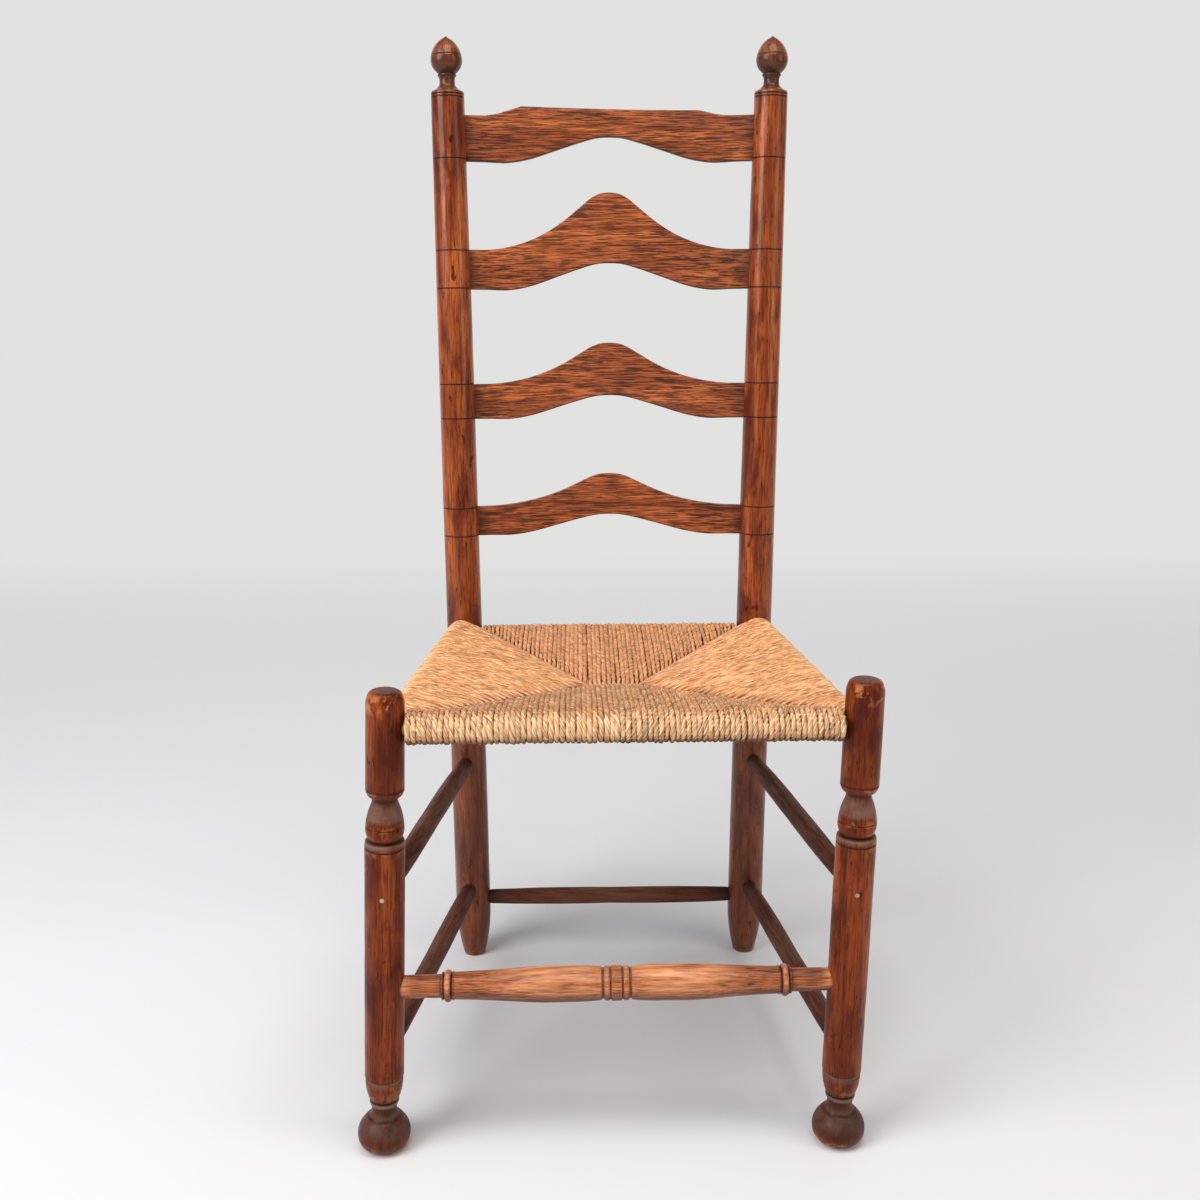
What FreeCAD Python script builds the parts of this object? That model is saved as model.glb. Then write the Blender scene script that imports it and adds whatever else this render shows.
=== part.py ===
# Ladderback side chair: turned front legs with ball feet, leaning rear posts with acorn
# finials, four shaped and bowed slats, round stretchers and a rush seat woven round four rails.
#
# Frame: millimetres, +Z up, +Y from the front legs to the back, and +X to the right of a viewer
# who faces the front. "Left" and "right" in the names are that viewer's too.
# The origin is on the floor, under the middle of the chair's bounding box.
# Every turned piece is modelled upright on its own axis and then laid along its real axis.

import FreeCAD, Part
import math
import os
import Sketcher
from FreeCAD import Placement, Rotation, Vector

os.makedirs("parts", exist_ok=True)
doc = FreeCAD.newDocument("ladderback_chair")
sheet = doc.addObject("Spreadsheet::Sheet", "Sizes")

# Driving dimensions: alias, value in millimetres, meaning
DIMENSIONS = [
    ("front_y", -207.1, "front leg axes, at the floor"),
    ("rear_y", 174.7, "rear post axes, at the floor"),
    ("front_foot_x", 226.2, "half the spacing of the front feet"),
    ("front_left_top_x", -205.5, "left front leg axis at its top"),
    ("front_right_top_x", 234.2, "right front leg axis at its top"),
    ("front_top_back", 2.7, "how far the front legs lean back at their top"),
    ("left_leg_height", 473.5, "left front leg, floor to top"),
    ("right_leg_height", 480.0, "right front leg, floor to top"),
    ("rear_left_foot_x", -165.0, "left rear post axis at the floor"),
    ("rear_left_top_x", -171.6, "left rear post axis at its top"),
    ("rear_right_foot_x", 179.1, "right rear post axis at the floor"),
    ("rear_right_top_x", 192.2, "right rear post axis at its top"),
    ("rear_lean", 41.2, "how far the rear posts lean back at their top"),
    ("post_height", 1098.2, "rear post with its finial"),
    ("leg_radius", 19.0, "front leg shaft"),
    ("leg_stub_radius", 18.1, "front leg at the foot of its plain upper length"),
    ("leg_top_radius", 16.4, "front leg where its top rounds over"),
    ("leg_top_flat", 11.6, "worn flat on the leg's top"),
    ("leg_top_round", 5.0, "depth of the leg's rounded top edge"),
    ("leg_top_wear", 14.0, "how far down the leg's top is worn slimmer"),
    ("leg_scribe_z", 378.7, "cut line under the plain upper length"),
    ("leg_neck_z", 367.8, "narrow neck over the bulb"),
    ("leg_neck_radius", 11.9, "narrow neck over the bulb"),
    ("bulb_z", 342.0, "widest ring of the turned bulb"),
    ("bulb_radius", 18.3, "turned bulb"),
    ("bulb_foot_radius", 14.6, "foot of the bulb, where it sits on the shaft"),
    ("shaft_top_z", 327.3, "top of the shaft"),
    ("collar_z", 320.5, "cut line under the shaft's top"),
    ("foot_line_z", 79.0, "cut line over the foot"),
    ("foot_band_z", 74.6, "lower edge of the sunk band over the foot"),
    ("foot_groove_z", 54.0, "groove under the leg's tapered end"),
    ("foot_ring_radius", 14.5, "ring between that groove and the foot's neck"),
    ("foot_neck_z", 41.0, "foot's neck"),
    ("foot_neck_radius", 12.3, "foot's neck"),
    ("foot_step_z", 34.2, "cut line where the cone meets the ball"),
    ("foot_step_radius", 15.6, "cone where it meets the ball"),
    ("ball_z", 13.5, "widest ring of the ball foot"),
    ("ball_radius", 25.9, "ball foot"),
    ("ball_base_radius", 16.0, "flat under the ball foot"),
    ("cut_line", 0.6, "depth of a cut line"),
    ("post_foot_radius", 13.4, "rear post at the floor"),
    ("post_taper_z", 70.0, "top of the rear post's tapered foot"),
    ("post_low_radius", 21.5, "rear post over its tapered foot"),
    ("post_seat_radius", 21.0, "rear post at the seat"),
    ("post_seat_z", 450.0, "height of that radius"),
    ("post_back_radius", 20.0, "rear post behind the third slat"),
    ("post_back_z", 800.0, "height of that radius"),
    ("post_top_radius", 18.5, "rear post under its shoulder"),
    ("shoulder_z", 1039.5, "top of the post's plain length"),
    ("finial_neck_z", 1049.8, "finial neck"),
    ("finial_neck_radius", 8.5, "finial neck"),
    ("finial_collar_z", 1056.0, "underside of the finial's collar"),
    ("finial_collar_radius", 10.3, "finial collar"),
    ("finial_cup_z", 1059.4, "top of the collar"),
    ("finial_ball_z", 1077.7, "widest ring of the finial"),
    ("finial_ball_radius", 17.2, "finial"),
    ("finial_tip_radius", 1.9, "blunt tip of the finial"),
    ("ring_1", 968.3, "cut line, level with the lower edge of slat 1"),
    ("ring_2", 868.3, "cut line, level with the upper edge of slat 2"),
    ("ring_3", 826.3, "cut line, level with the lower edge of slat 2"),
    ("ring_4", 717.9, "cut line, level with the upper edge of slat 3"),
    ("ring_5", 678.4, "cut line, level with the lower edge of slat 3"),
    ("ring_6", 573.1, "cut line, level with the upper edge of slat 4"),
    ("ring_7", 539.9, "cut line, level with the lower edge of slat 4"),
    ("ring_8", 1037.0, "upper cut line under the shoulder"),
    ("ring_9", 1033.8, "lower cut line under the shoulder"),
    ("slat_thick", 9.0, "slat thickness"),
    ("slat_bow", 19.0, "how far a slat's middle stands behind its ends"),
    ("slat_tenon", 17.0, "length of slat let into each post"),
    ("slat_1_z", 965.5, "lower edge of slat 1 at its ends"),
    ("slat_1_end", 49.5, "height of slat 1 at its ends"),
    ("slat_1_arch", 28.2, "rise of its lower edge"),
    ("slat_1_saw_left", 60.2, "sawn top edge over the left end of the cut"),
    ("slat_1_saw_right", 55.6, "sawn top edge over the right end of the cut"),
    ("slat_2_z", 824.6, "lower edge of slat 2 at its ends"),
    ("slat_2_end", 44.4, "height of slat 2 at its ends"),
    ("slat_2_peak", 109.1, "height of slat 2 to its peak"),
    ("slat_2_arch", 30.2, "rise of its lower edge"),
    ("slat_3_z", 676.8, "lower edge of slat 3 at its ends"),
    ("slat_3_end", 40.2, "height of slat 3 at its ends"),
    ("slat_3_peak", 87.6, "height of slat 3 to its peak"),
    ("slat_3_arch", 26.4, "rise of its lower edge"),
    ("slat_4_z", 538.6, "lower edge of slat 4 at its ends"),
    ("slat_4_end", 34.6, "height of slat 4 at its ends"),
    ("slat_4_peak", 72.0, "height of slat 4 to its peak"),
    ("slat_4_arch", 23.0, "rise of its lower edge"),
    ("slat_clear", 140.0, "half the length of slat over which its edges curve"),
    ("front_stretcher_left_z", 173.6, "front stretcher at the left leg"),
    ("front_stretcher_right_z", 176.8, "front stretcher at the right leg"),
    ("front_tenon_radius", 9.0, "front stretcher tenon"),
    ("front_plain_radius", 11.1, "front stretcher's plain ends"),
    ("front_swell_radius", 17.1, "front stretcher's swellings"),
    ("front_swell_x", 48.0, "from its middle to the fullest part of a swelling"),
    ("front_narrow_radius", 12.9, "thin end of a swelling"),
    ("front_bead_radius", 15.4, "bead between swelling and plain end"),
    ("front_bead_x", 162.5, "from its middle to that bead"),
    ("front_drum_radius", 16.8, "drum in the middle"),
    ("rear_stretcher_z", 75.0, "rear stretcher"),
    ("rear_stretcher_radius", 10.2, "rear stretcher at its middle"),
    ("upper_front_z", 273.7, "upper side stretchers at the front legs"),
    ("upper_rear_z", 258.2, "upper side stretchers at the rear posts"),
    ("lower_front_z", 100.2, "lower side stretchers at the front legs"),
    ("lower_rear_z", 93.1, "lower side stretchers at the rear posts"),
    ("side_stretcher_radius", 10.8, "side stretchers at their middle"),
    ("stretcher_tenon_radius", 7.8, "tenons of the plain stretchers"),
    ("front_rail_z", 437.5, "front seat rail"),
    ("side_rail_front_z", 423.5, "side seat rails at the front legs"),
    ("side_rail_rear_z", 426.0, "side seat rails at the rear posts"),
    ("back_rail_z", 412.0, "back seat rail"),
    ("rail_radius", 10.0, "side and back seat rails"),
    ("front_rail_deep", 15.0, "half the depth of the front seat rail"),
    ("front_rail_high", 9.0, "half the height of the front seat rail"),
    ("rail_tenon_radius", 6.4, "seat rail tenons"),
    ("rush_thick", 6.5, "thickness of the rush wound round a rail"),
    ("seam_x", 7.1, "middle of the centre seam"),
    ("seam_y", -19.0, "centre seam of the seat"),
    ("seam_half", 23.0, "half the length of the centre seam"),
    ("seam_z", 421.0, "top of the seat at the centre seam"),
    ("seam_thick", 20.0, "thickness of the seat at the centre seam"),
    ("tenon_past_axis", 5.0, "how far a tenon runs past the axis of its leg"),
    ("socket_spare", 1.5, "empty bottom of a socket"),
    ("nail_radius", 1.1, "nail shank"),
    ("nail_head_radius", 2.1, "nail head"),
    ("nail_long", 30.0, "nail length"),
    ("pad_shrink", 0.58, "size of a stuffing pad against its panel"),
]


class Size:
    """A number together with the text that ties it to the sheet."""

    def __init__(self, number, text=""):
        self.number = float(number)
        self.text = text or "%.9g" % float(number)
        self.tied = bool(text)

    def mixed(self, other, number, sign):
        joined = Size(number, "(%s %s %s)" % (self.text, sign, other.text))
        joined.tied = self.tied or other.tied
        return joined

    def __add__(self, other):
        other = as_size(other)
        return self.mixed(other, self.number + other.number, "+")

    def __sub__(self, other):
        other = as_size(other)
        return self.mixed(other, self.number - other.number, "-")

    def __mul__(self, other):
        other = as_size(other)
        return self.mixed(other, self.number * other.number, "*")

    def __truediv__(self, other):
        other = as_size(other)
        return self.mixed(other, self.number / other.number, "/")

    def __neg__(self):
        return as_size(0) - self


def as_size(value):
    return value if isinstance(value, Size) else Size(value)


SIZES = {}
for row, (alias, value, meaning) in enumerate(DIMENSIONS, start=1):
    sheet.set("A%d" % row, meaning)
    sheet.set("B%d" % row, str(value))
    sheet.setAlias("B%d" % row, alias)
    SIZES[alias] = Size(value, "Sizes." + alias)
doc.recompute()


def size(alias):
    """The sheet's dimension, for a sketch or an expression."""
    return SIZES[alias]


def mm(alias):
    """The sheet's dimension as a plain number."""
    return float(sheet.get(alias))


def plane_of(body, role):
    for feature in body.Origin.OriginFeatures:
        if feature.Role == role:
            return feature
    raise RuntimeError("no plane " + role)


def new_body(label):
    body = doc.addObject("PartDesign::Body", label)
    body.Label = label
    return body


def new_sketch(body, name, role):
    sketch = body.newObject("Sketcher::SketchObject", name)
    sketch.AttachmentSupport = [(plane_of(body, role), "")]
    sketch.MapMode = "FlatFace"
    return sketch


def limit(sketch, kind, arguments, amount):
    """Adds a dimension to a sketch and ties it to the sheet."""
    index = sketch.addConstraint(Sketcher.Constraint(kind, *arguments, amount.number))
    if amount.tied:
        sketch.setExpression("Constraints[%d]" % index, amount.text)


def pin(sketch, edge, end, x, y):
    """Fixes one end of an edge at x, y."""
    for kind, amount, axis in (("DistanceX", x, -2), ("DistanceY", y, -1)):
        if amount.number == 0.0 and not amount.tied:
            sketch.addConstraint(Sketcher.Constraint("PointOnObject", edge, end, axis))
        else:
            limit(sketch, kind, (-1, 1, edge, end), amount)


def outline(sketch, corners):
    """Closes an outline through corners (x, y) or (x, y, sag).

    The sag bends the edge that leaves its corner: positive bulges to the left of the way
    along the edge, negative to the right.
    """
    points = [(as_size(c[0]), as_size(c[1])) for c in corners]
    sags = [as_size(c[2]) if len(c) > 2 else None for c in corners]
    edges = []
    for i, (x0, y0) in enumerate(points):
        x1, y1 = points[(i + 1) % len(points)]
        start = Vector(x0.number, y0.number, 0)
        finish = Vector(x1.number, y1.number, 0)
        along = finish - start
        if sags[i] is None:
            edge = sketch.addGeometry(Part.LineSegment(start, finish), False)
            edges.append((edge, 1, 2))
            continue
        sag = sags[i]
        left = Vector(-along.y, along.x, 0).normalize()
        middle = (start + finish) * 0.5 + left * sag.number
        # a sketch holds its arcs anticlockwise, so an arc that bulges left is drawn backwards
        if sag.number > 0:
            edge = sketch.addGeometry(Part.Arc(finish, middle, start), False)
            edges.append((edge, 2, 1))
        else:
            edge = sketch.addGeometry(Part.Arc(start, middle, finish), False)
            edges.append((edge, 1, 2))
        chord = (x1 - x0) * (x1 - x0) + (y1 - y0) * (y1 - y0)
        depth = sag if sag.number > 0 else -sag
        limit(sketch, "Radius", (edge,), depth / 2 + chord / (depth * 8))
    for i, (edge, head, tail) in enumerate(edges):
        after, after_head, after_tail = edges[(i + 1) % len(edges)]
        sketch.addConstraint(Sketcher.Constraint("Coincident", edge, tail, after, after_head))
        pin(sketch, edge, head, *points[i])


def turned(label, corners):
    """A lathe-turned body: the corners (radius, height, sag) run from the foot up."""
    body = new_body(label)
    sketch = new_sketch(body, label + "_profile", "XZ_Plane")
    low = as_size(corners[0][1])
    high = as_size(corners[-1][1])
    outline(sketch, [(0, low)] + list(corners) + [(0, high)])
    spin = body.newObject("PartDesign::Revolution", label + "_turning")
    spin.Profile = sketch
    spin.ReferenceAxis = (sketch, ["V_Axis"])
    spin.Angle = 360.0
    body.Tip = spin
    return body


def cut_line(radius, height):
    """A small V cut round a turned piece, from below it to above it."""
    half = 0.55
    return [(radius, height - half), (radius - size("cut_line"), height), (radius, height + half)]


def lay(piece, start, finish):
    """Lays an upright piece along the line from start to finish."""
    piece.Placement = Placement(start, Rotation(Vector(0, 0, 1), finish - start))


# Axes of the legs and posts

def leg_axis(side, height):
    """A point on a front leg's axis; side is -1 for left and 1 for right."""
    top = mm("front_left_top_x") if side < 0 else mm("front_right_top_x")
    foot = side * mm("front_foot_x")
    full = mm("left_leg_height") if side < 0 else mm("right_leg_height")
    share = height / full
    return Vector(foot + (top - foot) * share, mm("front_y") + mm("front_top_back") * share, height)


def post_axis(side, height):
    """A point on a rear post's axis."""
    name = "rear_left" if side < 0 else "rear_right"
    foot = mm(name + "_foot_x")
    top = mm(name + "_top_x")
    share = height / mm("post_height")
    return Vector(foot + (top - foot) * share, mm("rear_y") + mm("rear_lean") * share, height)


def upright(axis, side, height):
    """Placement of a leg or post turned on its own upright axis."""
    start = axis(side, 0.0)
    return Placement(start, Rotation(Vector(0, 0, 1), axis(side, height) - start))


# Front legs

def leg_profile(height):
    radius = size("leg_radius")
    stub = size("leg_stub_radius")
    top = size("leg_top_radius")
    ring = size("foot_ring_radius")
    neck, neck_z = size("leg_neck_radius"), size("leg_neck_z")
    profile = [
        (size("ball_base_radius"), -4.0),
        (size("ball_base_radius"), 0.3, -2.6),
        (size("ball_radius"), size("ball_z"), -1.9),
        (size("foot_step_radius") + 4.6, size("foot_step_z") - 4.4, -0.5),
        (size("foot_step_radius") + 0.2, size("foot_step_z") - 0.3),
        (size("foot_step_radius") - 0.6, size("foot_step_z") + 0.5, 0.4),
        (size("foot_neck_radius"), size("foot_neck_z") + 0.5),
        (size("foot_neck_radius") + 0.2, size("foot_groove_z") - 7.2),
        (ring - 0.9, size("foot_groove_z") - 5.8, -0.4),
        (ring, size("foot_groove_z") - 0.9),
        (ring - 1.1, size("foot_groove_z") - 0.2),
        (ring - 0.9, size("foot_groove_z") + 0.6),
        (ring + 0.4, size("foot_groove_z") + 1.2, -0.9),
        (radius - 0.6, size("foot_band_z")),
        (radius - 1.4, size("foot_band_z") + 0.5),
        (radius - 1.2, size("foot_line_z") - 0.9),
        (radius - size("cut_line") * 2, size("foot_line_z")),
        (radius + 0.2, size("foot_line_z") + 0.6),
    ]
    profile += cut_line(radius, size("collar_z"))
    profile += [
        (radius - 0.3, size("shaft_top_z") - 1.6, -0.4),
        (radius - 1.8, size("shaft_top_z")),
        (size("bulb_foot_radius"), size("shaft_top_z") + 0.4, -1.4),
        (size("bulb_radius") - 0.1, size("bulb_z") - 0.6),
        (size("bulb_radius") - size("cut_line"), size("bulb_z")),
        (size("bulb_radius") - 0.1, size("bulb_z") + 0.6, -0.7),
        (neck + 1.6, neck_z - 5.6, 0.3),
        (neck, neck_z + 0.4),
        (neck + 0.8, neck_z + 2.8, -1.0),
        (stub - 0.9, size("leg_scribe_z") - 3.6, -0.3),
        (stub - 0.1, size("leg_scribe_z") - 0.6),
        (stub - size("cut_line"), size("leg_scribe_z")),
        (stub, size("leg_scribe_z") + 0.6),
        (stub - 0.3, height - size("leg_top_wear"), -0.5),
        (top, height - size("leg_top_round"), -1.1),
        (size("leg_top_flat"), height),
    ]
    return profile


def front_leg(side, name, height_alias):
    body = turned(name + "_turning", leg_profile(size(height_alias)))
    body.Placement = upright(leg_axis, side, mm(height_alias))
    return body


# Rear posts

def post_profile():
    low = size("post_low_radius")
    seat = size("post_seat_radius")
    back = size("post_back_radius")
    top = size("post_top_radius")

    def radius_at(height):
        """Radius of the tapered post, between its three measured heights."""
        seat_z, back_z = size("post_seat_z"), size("post_back_z")
        if height.number > back_z.number:
            return back + (top - back) * (height - back_z) / (size("shoulder_z") - back_z)
        return seat + (back - seat) * (height - seat_z) / (back_z - seat_z)

    profile = [
        (size("post_foot_radius"), -4.0),
        (size("post_foot_radius"), 1.5, -2.4),
        (low, size("post_taper_z")),
        (low, size("post_taper_z") + 130.0),
        (seat, size("post_seat_z")),
    ]
    heights = [size("ring_%d" % i) for i in (7, 6, 5, 4, 3, 2, 1, 9, 8)]
    passed_back = False
    for height in heights:
        if height.number > mm("post_back_z") and not passed_back:
            profile.append((back, size("post_back_z")))
            passed_back = True
        profile += cut_line(radius_at(height), height)
    profile += [
        (top, size("shoulder_z") - 1.4, -0.4),
        (top - 1.7, size("shoulder_z") + 1.2, 1.1),
        (size("finial_neck_radius") + 0.2, size("finial_neck_z") - 2.0),
        (size("finial_neck_radius"), size("finial_neck_z") + 1.6, 0.2),
        (size("finial_collar_radius") - 0.9, size("finial_collar_z"), -0.1),
        (size("finial_collar_radius"), size("finial_collar_z") + 0.9, -0.3),
        (size("finial_collar_radius") - 0.2, size("finial_cup_z") - 0.7),
        (size("finial_collar_radius") - 0.7, size("finial_cup_z"), -3.2),
        (size("finial_ball_radius"), size("finial_ball_z")),
        (size("finial_ball_radius") - size("cut_line"), size("finial_ball_z") + 0.8),
        (size("finial_ball_radius") - 0.3, size("finial_ball_z") + 1.6, -2.6),
        (size("finial_tip_radius"), size("post_height") - 0.8, -0.3),
        (size("finial_tip_radius") * 0.4, size("post_height")),
    ]
    return profile


def rear_post(side, name):
    body = turned(name + "_turning", post_profile())
    body.Placement = upright(post_axis, side, mm("post_height"))
    return body


# Slats: each is a shaped board, bent so that its middle stands behind the posts

def slat_span(number):
    """Middle and half length of a slat's board, tenons included, in mm."""
    level = mm("slat_%d_z" % number) + mm("slat_%d_end" % number) / 2
    left, right = post_axis(-1, level), post_axis(1, level)
    reach = (right.x - left.x) / 2 - mm("post_back_radius") + mm("slat_tenon")
    return (left + right) * 0.5, reach


# Edge curves of a slat: share of the half length from its middle, share of the rise
TOP_SHAPE = (
    (1.0, 0.0), (0.86, 0.036), (0.74, 0.1), (0.61, 0.203), (0.47, 0.362), (0.335, 0.566),
    (0.2, 0.806), (0.085, 0.963),
)
LOW_SHAPE = (
    (1.0, -0.01), (0.86, -0.035), (0.74, 0.03), (0.61, 0.18), (0.47, 0.41), (0.335, 0.63),
    (0.2, 0.835), (0.085, 0.965),
)


def edge_curve(shape, clear, base, rise):
    """Corners of a slat's edge from left to right; it is alike on both sides of the middle."""
    left = [(-clear * away, rise * share + base) for away, share in shape]
    right = [(clear * away, rise * share + base) for away, share in reversed(shape)]
    return left + right


def smoothed(corners):
    """Bends every edge but the first and the last so that the outline turns evenly."""
    flat = [Vector(as_size(c[0]).number, as_size(c[1]).number, 0) for c in corners]
    bent = list(corners)
    for i in range(1, len(corners) - 2):
        chord = flat[i + 1] - flat[i]
        turns = []
        for way in (flat[i + 1] - flat[i - 1], flat[i + 2] - flat[i]):
            turns.append((chord.x * way.y - chord.y * way.x) / chord.dot(way))
        sag = chord.Length * (turns[0] - turns[1]) / 8
        if abs(sag) > 0.04:
            bent[i] = (corners[i][0], corners[i][1], sag)
    return bent


def slat(number, name):
    middle, reach_mm = slat_span(number)
    reach = Size(reach_mm)
    key = "slat_%d_" % number
    end, arch = size(key + "end"), size(key + "arch")
    clear = size("slat_clear")
    body = new_body(name)
    face = new_sketch(body, name + "_face", "XZ_Plane")
    low = [(-reach, 0)] + edge_curve(LOW_SHAPE, clear, 0, arch) + [(reach, 0)]
    if number == 1:
        # the crown of the top slat is sawn off along a line that runs down to the right
        right = [(reach, end), (clear, end), (clear * 0.86, end + 1.6),
                 (clear * 0.73, size("slat_1_saw_right"))]
        left = [(-clear * 0.71, size("slat_1_saw_left")), (-clear * 0.86, end + 4.0),
                (-clear, end), (-reach, end)]
        high = smoothed(right) + smoothed(left)
    else:
        rise = size(key + "peak") - end
        high = edge_curve(TOP_SHAPE, clear, end, rise)
        high = smoothed([(reach, end)] + high[::-1] + [(-reach, end)])
    low = smoothed(low)
    outline(face, low + high)
    board = body.newObject("PartDesign::Pad", name + "_board")
    board.Profile = face
    board.Midplane = True
    board.Length = 100.0
    doc.recompute()
    # plan view of the bend: all that is not the bent board is taken off in front and behind
    half = size("slat_thick") / 2
    bow = size("slat_bow")
    far = 70.0
    for place, sign in (("front", -1), ("back", 1)):
        plan = new_sketch(body, name + "_bend_" + place, "XY_Plane")
        wide = reach + 1.0
        edge_y = half * sign
        outline(plan, [(-wide, edge_y, bow), (wide, edge_y), (wide, far * sign), (-wide, far * sign)])
        trim = body.newObject("PartDesign::Pocket", name + "_trim_" + place)
        trim.Profile = plan
        trim.Type = "ThroughAll"
        trim.Midplane = True
        body.Tip = trim
    tilt = math.degrees(math.atan2(mm("rear_lean"), mm("post_height")))
    across = post_axis(1, middle.z) - post_axis(-1, middle.z)
    base = Vector(middle.x, 0, mm(key + "z"))
    base.y = post_axis(-1, base.z).y - mm("slat_thick") * 0.2
    turn = Rotation(Vector(1, 0, 0), across).multiply(Rotation(Vector(1, 0, 0), -tilt))
    body.Placement = Placement(base, turn)
    return body


# Stretchers

def member_ends(start, finish):
    """Ends of a member whose tenons run a little past the axes of its legs, and its length."""
    along = (finish - start).normalize()
    past = mm("tenon_past_axis")
    return start - along * past, finish + along * past, (finish - start).Length + 2 * past


def plain_stretcher(name, start, finish, middle_radius, start_hold, finish_hold):
    """A shaved round stretcher, fullest at its middle, with a tenon at each end."""
    head, tail, length = member_ends(start, finish)
    tenon = size("stretcher_tenon_radius")
    past = size("tenon_past_axis")
    full = Size(length)
    body = turned(name, [
        (tenon, 0),
        (tenon, past + start_hold * 0.8),
        (tenon + 1.3, past + start_hold * 1.15, -0.9),
        (middle_radius, full * 0.5, -0.9),
        (tenon + 1.3, full - past - finish_hold * 1.15),
        (tenon, full - past - finish_hold * 0.8),
        (tenon, full),
    ])
    lay(body, head, tail)
    return body


def front_stretcher():
    start = leg_axis(-1, mm("front_stretcher_left_z"))
    finish = leg_axis(1, mm("front_stretcher_right_z"))
    head, tail, length = member_ends(start, finish)
    centre = Size(length / 2)
    tenon, plain = size("front_tenon_radius"), size("front_plain_radius")
    narrow, swell = size("front_narrow_radius"), size("front_swell_radius")
    bead, drum = size("front_bead_radius"), size("front_drum_radius")
    at = size("front_bead_x")
    half = [
        (drum - 0.2, 4.6),
        (drum - 1.6, 5.4),
        (drum - 1.6, 6.4),
        (drum - 1.0, 6.8, -0.6),
        (drum - 1.0, 11.6),
        (drum - 2.4, 12.4),
        (drum - 2.4, 13.8),
        (drum - 1.0, 15.0, -0.5),
        (swell, size("front_swell_x"), -0.8),
        (swell - 1.5, 100.0, 0.4),
        (narrow, at - 6.6),
        (narrow + 0.6, at - 6.2),
        (narrow + 0.6, at - 4.4),
        (narrow - 0.6, at - 3.6),
        (bead - 1.2, at - 2.8, -1.1),
        (bead - 1.2, at + 2.8),
        (narrow - 0.8, at + 3.6),
        (narrow + 0.2, at + 4.4),
        (narrow + 0.2, at + 5.8),
        (plain, at + 6.6),
        (plain - 0.2, centre - size("tenon_past_axis") - size("leg_radius") + 1.5),
        (tenon, centre - size("tenon_past_axis") - size("leg_radius") + 5.0),
        (tenon, centre),
    ]
    lower = []
    for i in range(len(half) - 1, -1, -1):
        radius, distance = half[i][0], half[i][1]
        before = half[i - 1] if i > 0 else half[0]
        corner = (radius, centre - distance)
        if i > 0 and len(before) > 2:
            corner = (radius, centre - distance, before[2])
        lower.append(corner)
    upper = [(corner[0], centre + corner[1]) + tuple(corner[2:]) for corner in half]
    body = turned("front_stretcher", lower + upper)
    lay(body, head, tail)
    return body


# Seat rails, hidden in the rush

def round_rail(name, start, finish):
    head, tail, length = member_ends(start, finish)
    tenon, radius, past = size("rail_tenon_radius"), size("rail_radius"), size("tenon_past_axis")
    full = Size(length)
    body = turned(name, [
        (tenon, 0),
        (tenon, past + 14.0),
        (radius - 1.2, past + 24.0, -0.6),
        (radius, full * 0.5, -0.6),
        (radius - 1.2, full - past - 24.0),
        (tenon, full - past - 14.0),
        (tenon, full),
    ])
    lay(body, head, tail)
    return body


def front_rail():
    """A turned rail shaved flat above and below."""
    start = leg_axis(-1, mm("front_rail_z"))
    finish = leg_axis(1, mm("front_rail_z"))
    head, tail, length = member_ends(start, finish)
    tenon, deep, past = size("rail_tenon_radius"), size("front_rail_deep"), size("tenon_past_axis")
    full = Size(length)
    body = turned("seat_rail_front", [
        (tenon, 0),
        (tenon, past + 14.5),
        (deep, past + 34.0),
        (deep, full - past - 34.0),
        (tenon, full - past - 14.5),
        (tenon, full),
    ])
    doc.recompute()
    # local X points down and up once the rail is laid across the chair
    high = size("front_rail_high")
    for place, sign in (("under", 1), ("over", -1)):
        flat = new_sketch(body, "front_rail_flat_" + place, "XY_Plane")
        near, far, wide = high * sign, high * sign * 2.4, deep * 1.5
        outline(flat, [(near, -wide), (far, -wide), (far, wide), (near, wide)])
        shave = body.newObject("PartDesign::Pocket", "front_rail_shave_" + place)
        shave.Profile = flat
        shave.Type = "ThroughAll"
        shave.Midplane = True
        body.Tip = shave
    lay(body, head, tail)
    return body


# Woven seat

def seat_points():
    """Corners of the seat's top surface, named by place; each panel lies between them."""
    seam_y, seam_half, seam_z = mm("seam_y"), mm("seam_half"), mm("seam_z")
    middle = mm("seam_x")
    front_top = mm("front_rail_z") + mm("front_rail_high") + mm("rush_thick") - 0.3
    side_top = mm("side_rail_front_z") + mm("rail_radius") + mm("rush_thick") - 0.3
    back_side_top = mm("side_rail_rear_z") + mm("rail_radius") + mm("rush_thick") - 1.2
    back_top = mm("back_rail_z") + mm("rail_radius") + mm("rush_thick") - 0.3
    points = {
        "seam_left": Vector(middle - seam_half, seam_y, seam_z),
        "seam_right": Vector(middle + seam_half, seam_y, seam_z),
    }
    for side, word in ((-1, "left"), (1, "right")):
        leg, post = leg_axis(side, 440), post_axis(side, 430)
        points["front_" + word] = Vector(leg.x - side * 16, leg.y + 3, front_top)
        points["corner_" + word] = Vector(leg.x - side * 6, leg.y + 20, side_top + 1.5)
        points["side_" + word] = Vector(post.x - side * 1, post.y - 20, back_side_top)
        points["back_" + word] = Vector(post.x - side * 22, post.y + 2, back_top)
    return points


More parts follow.
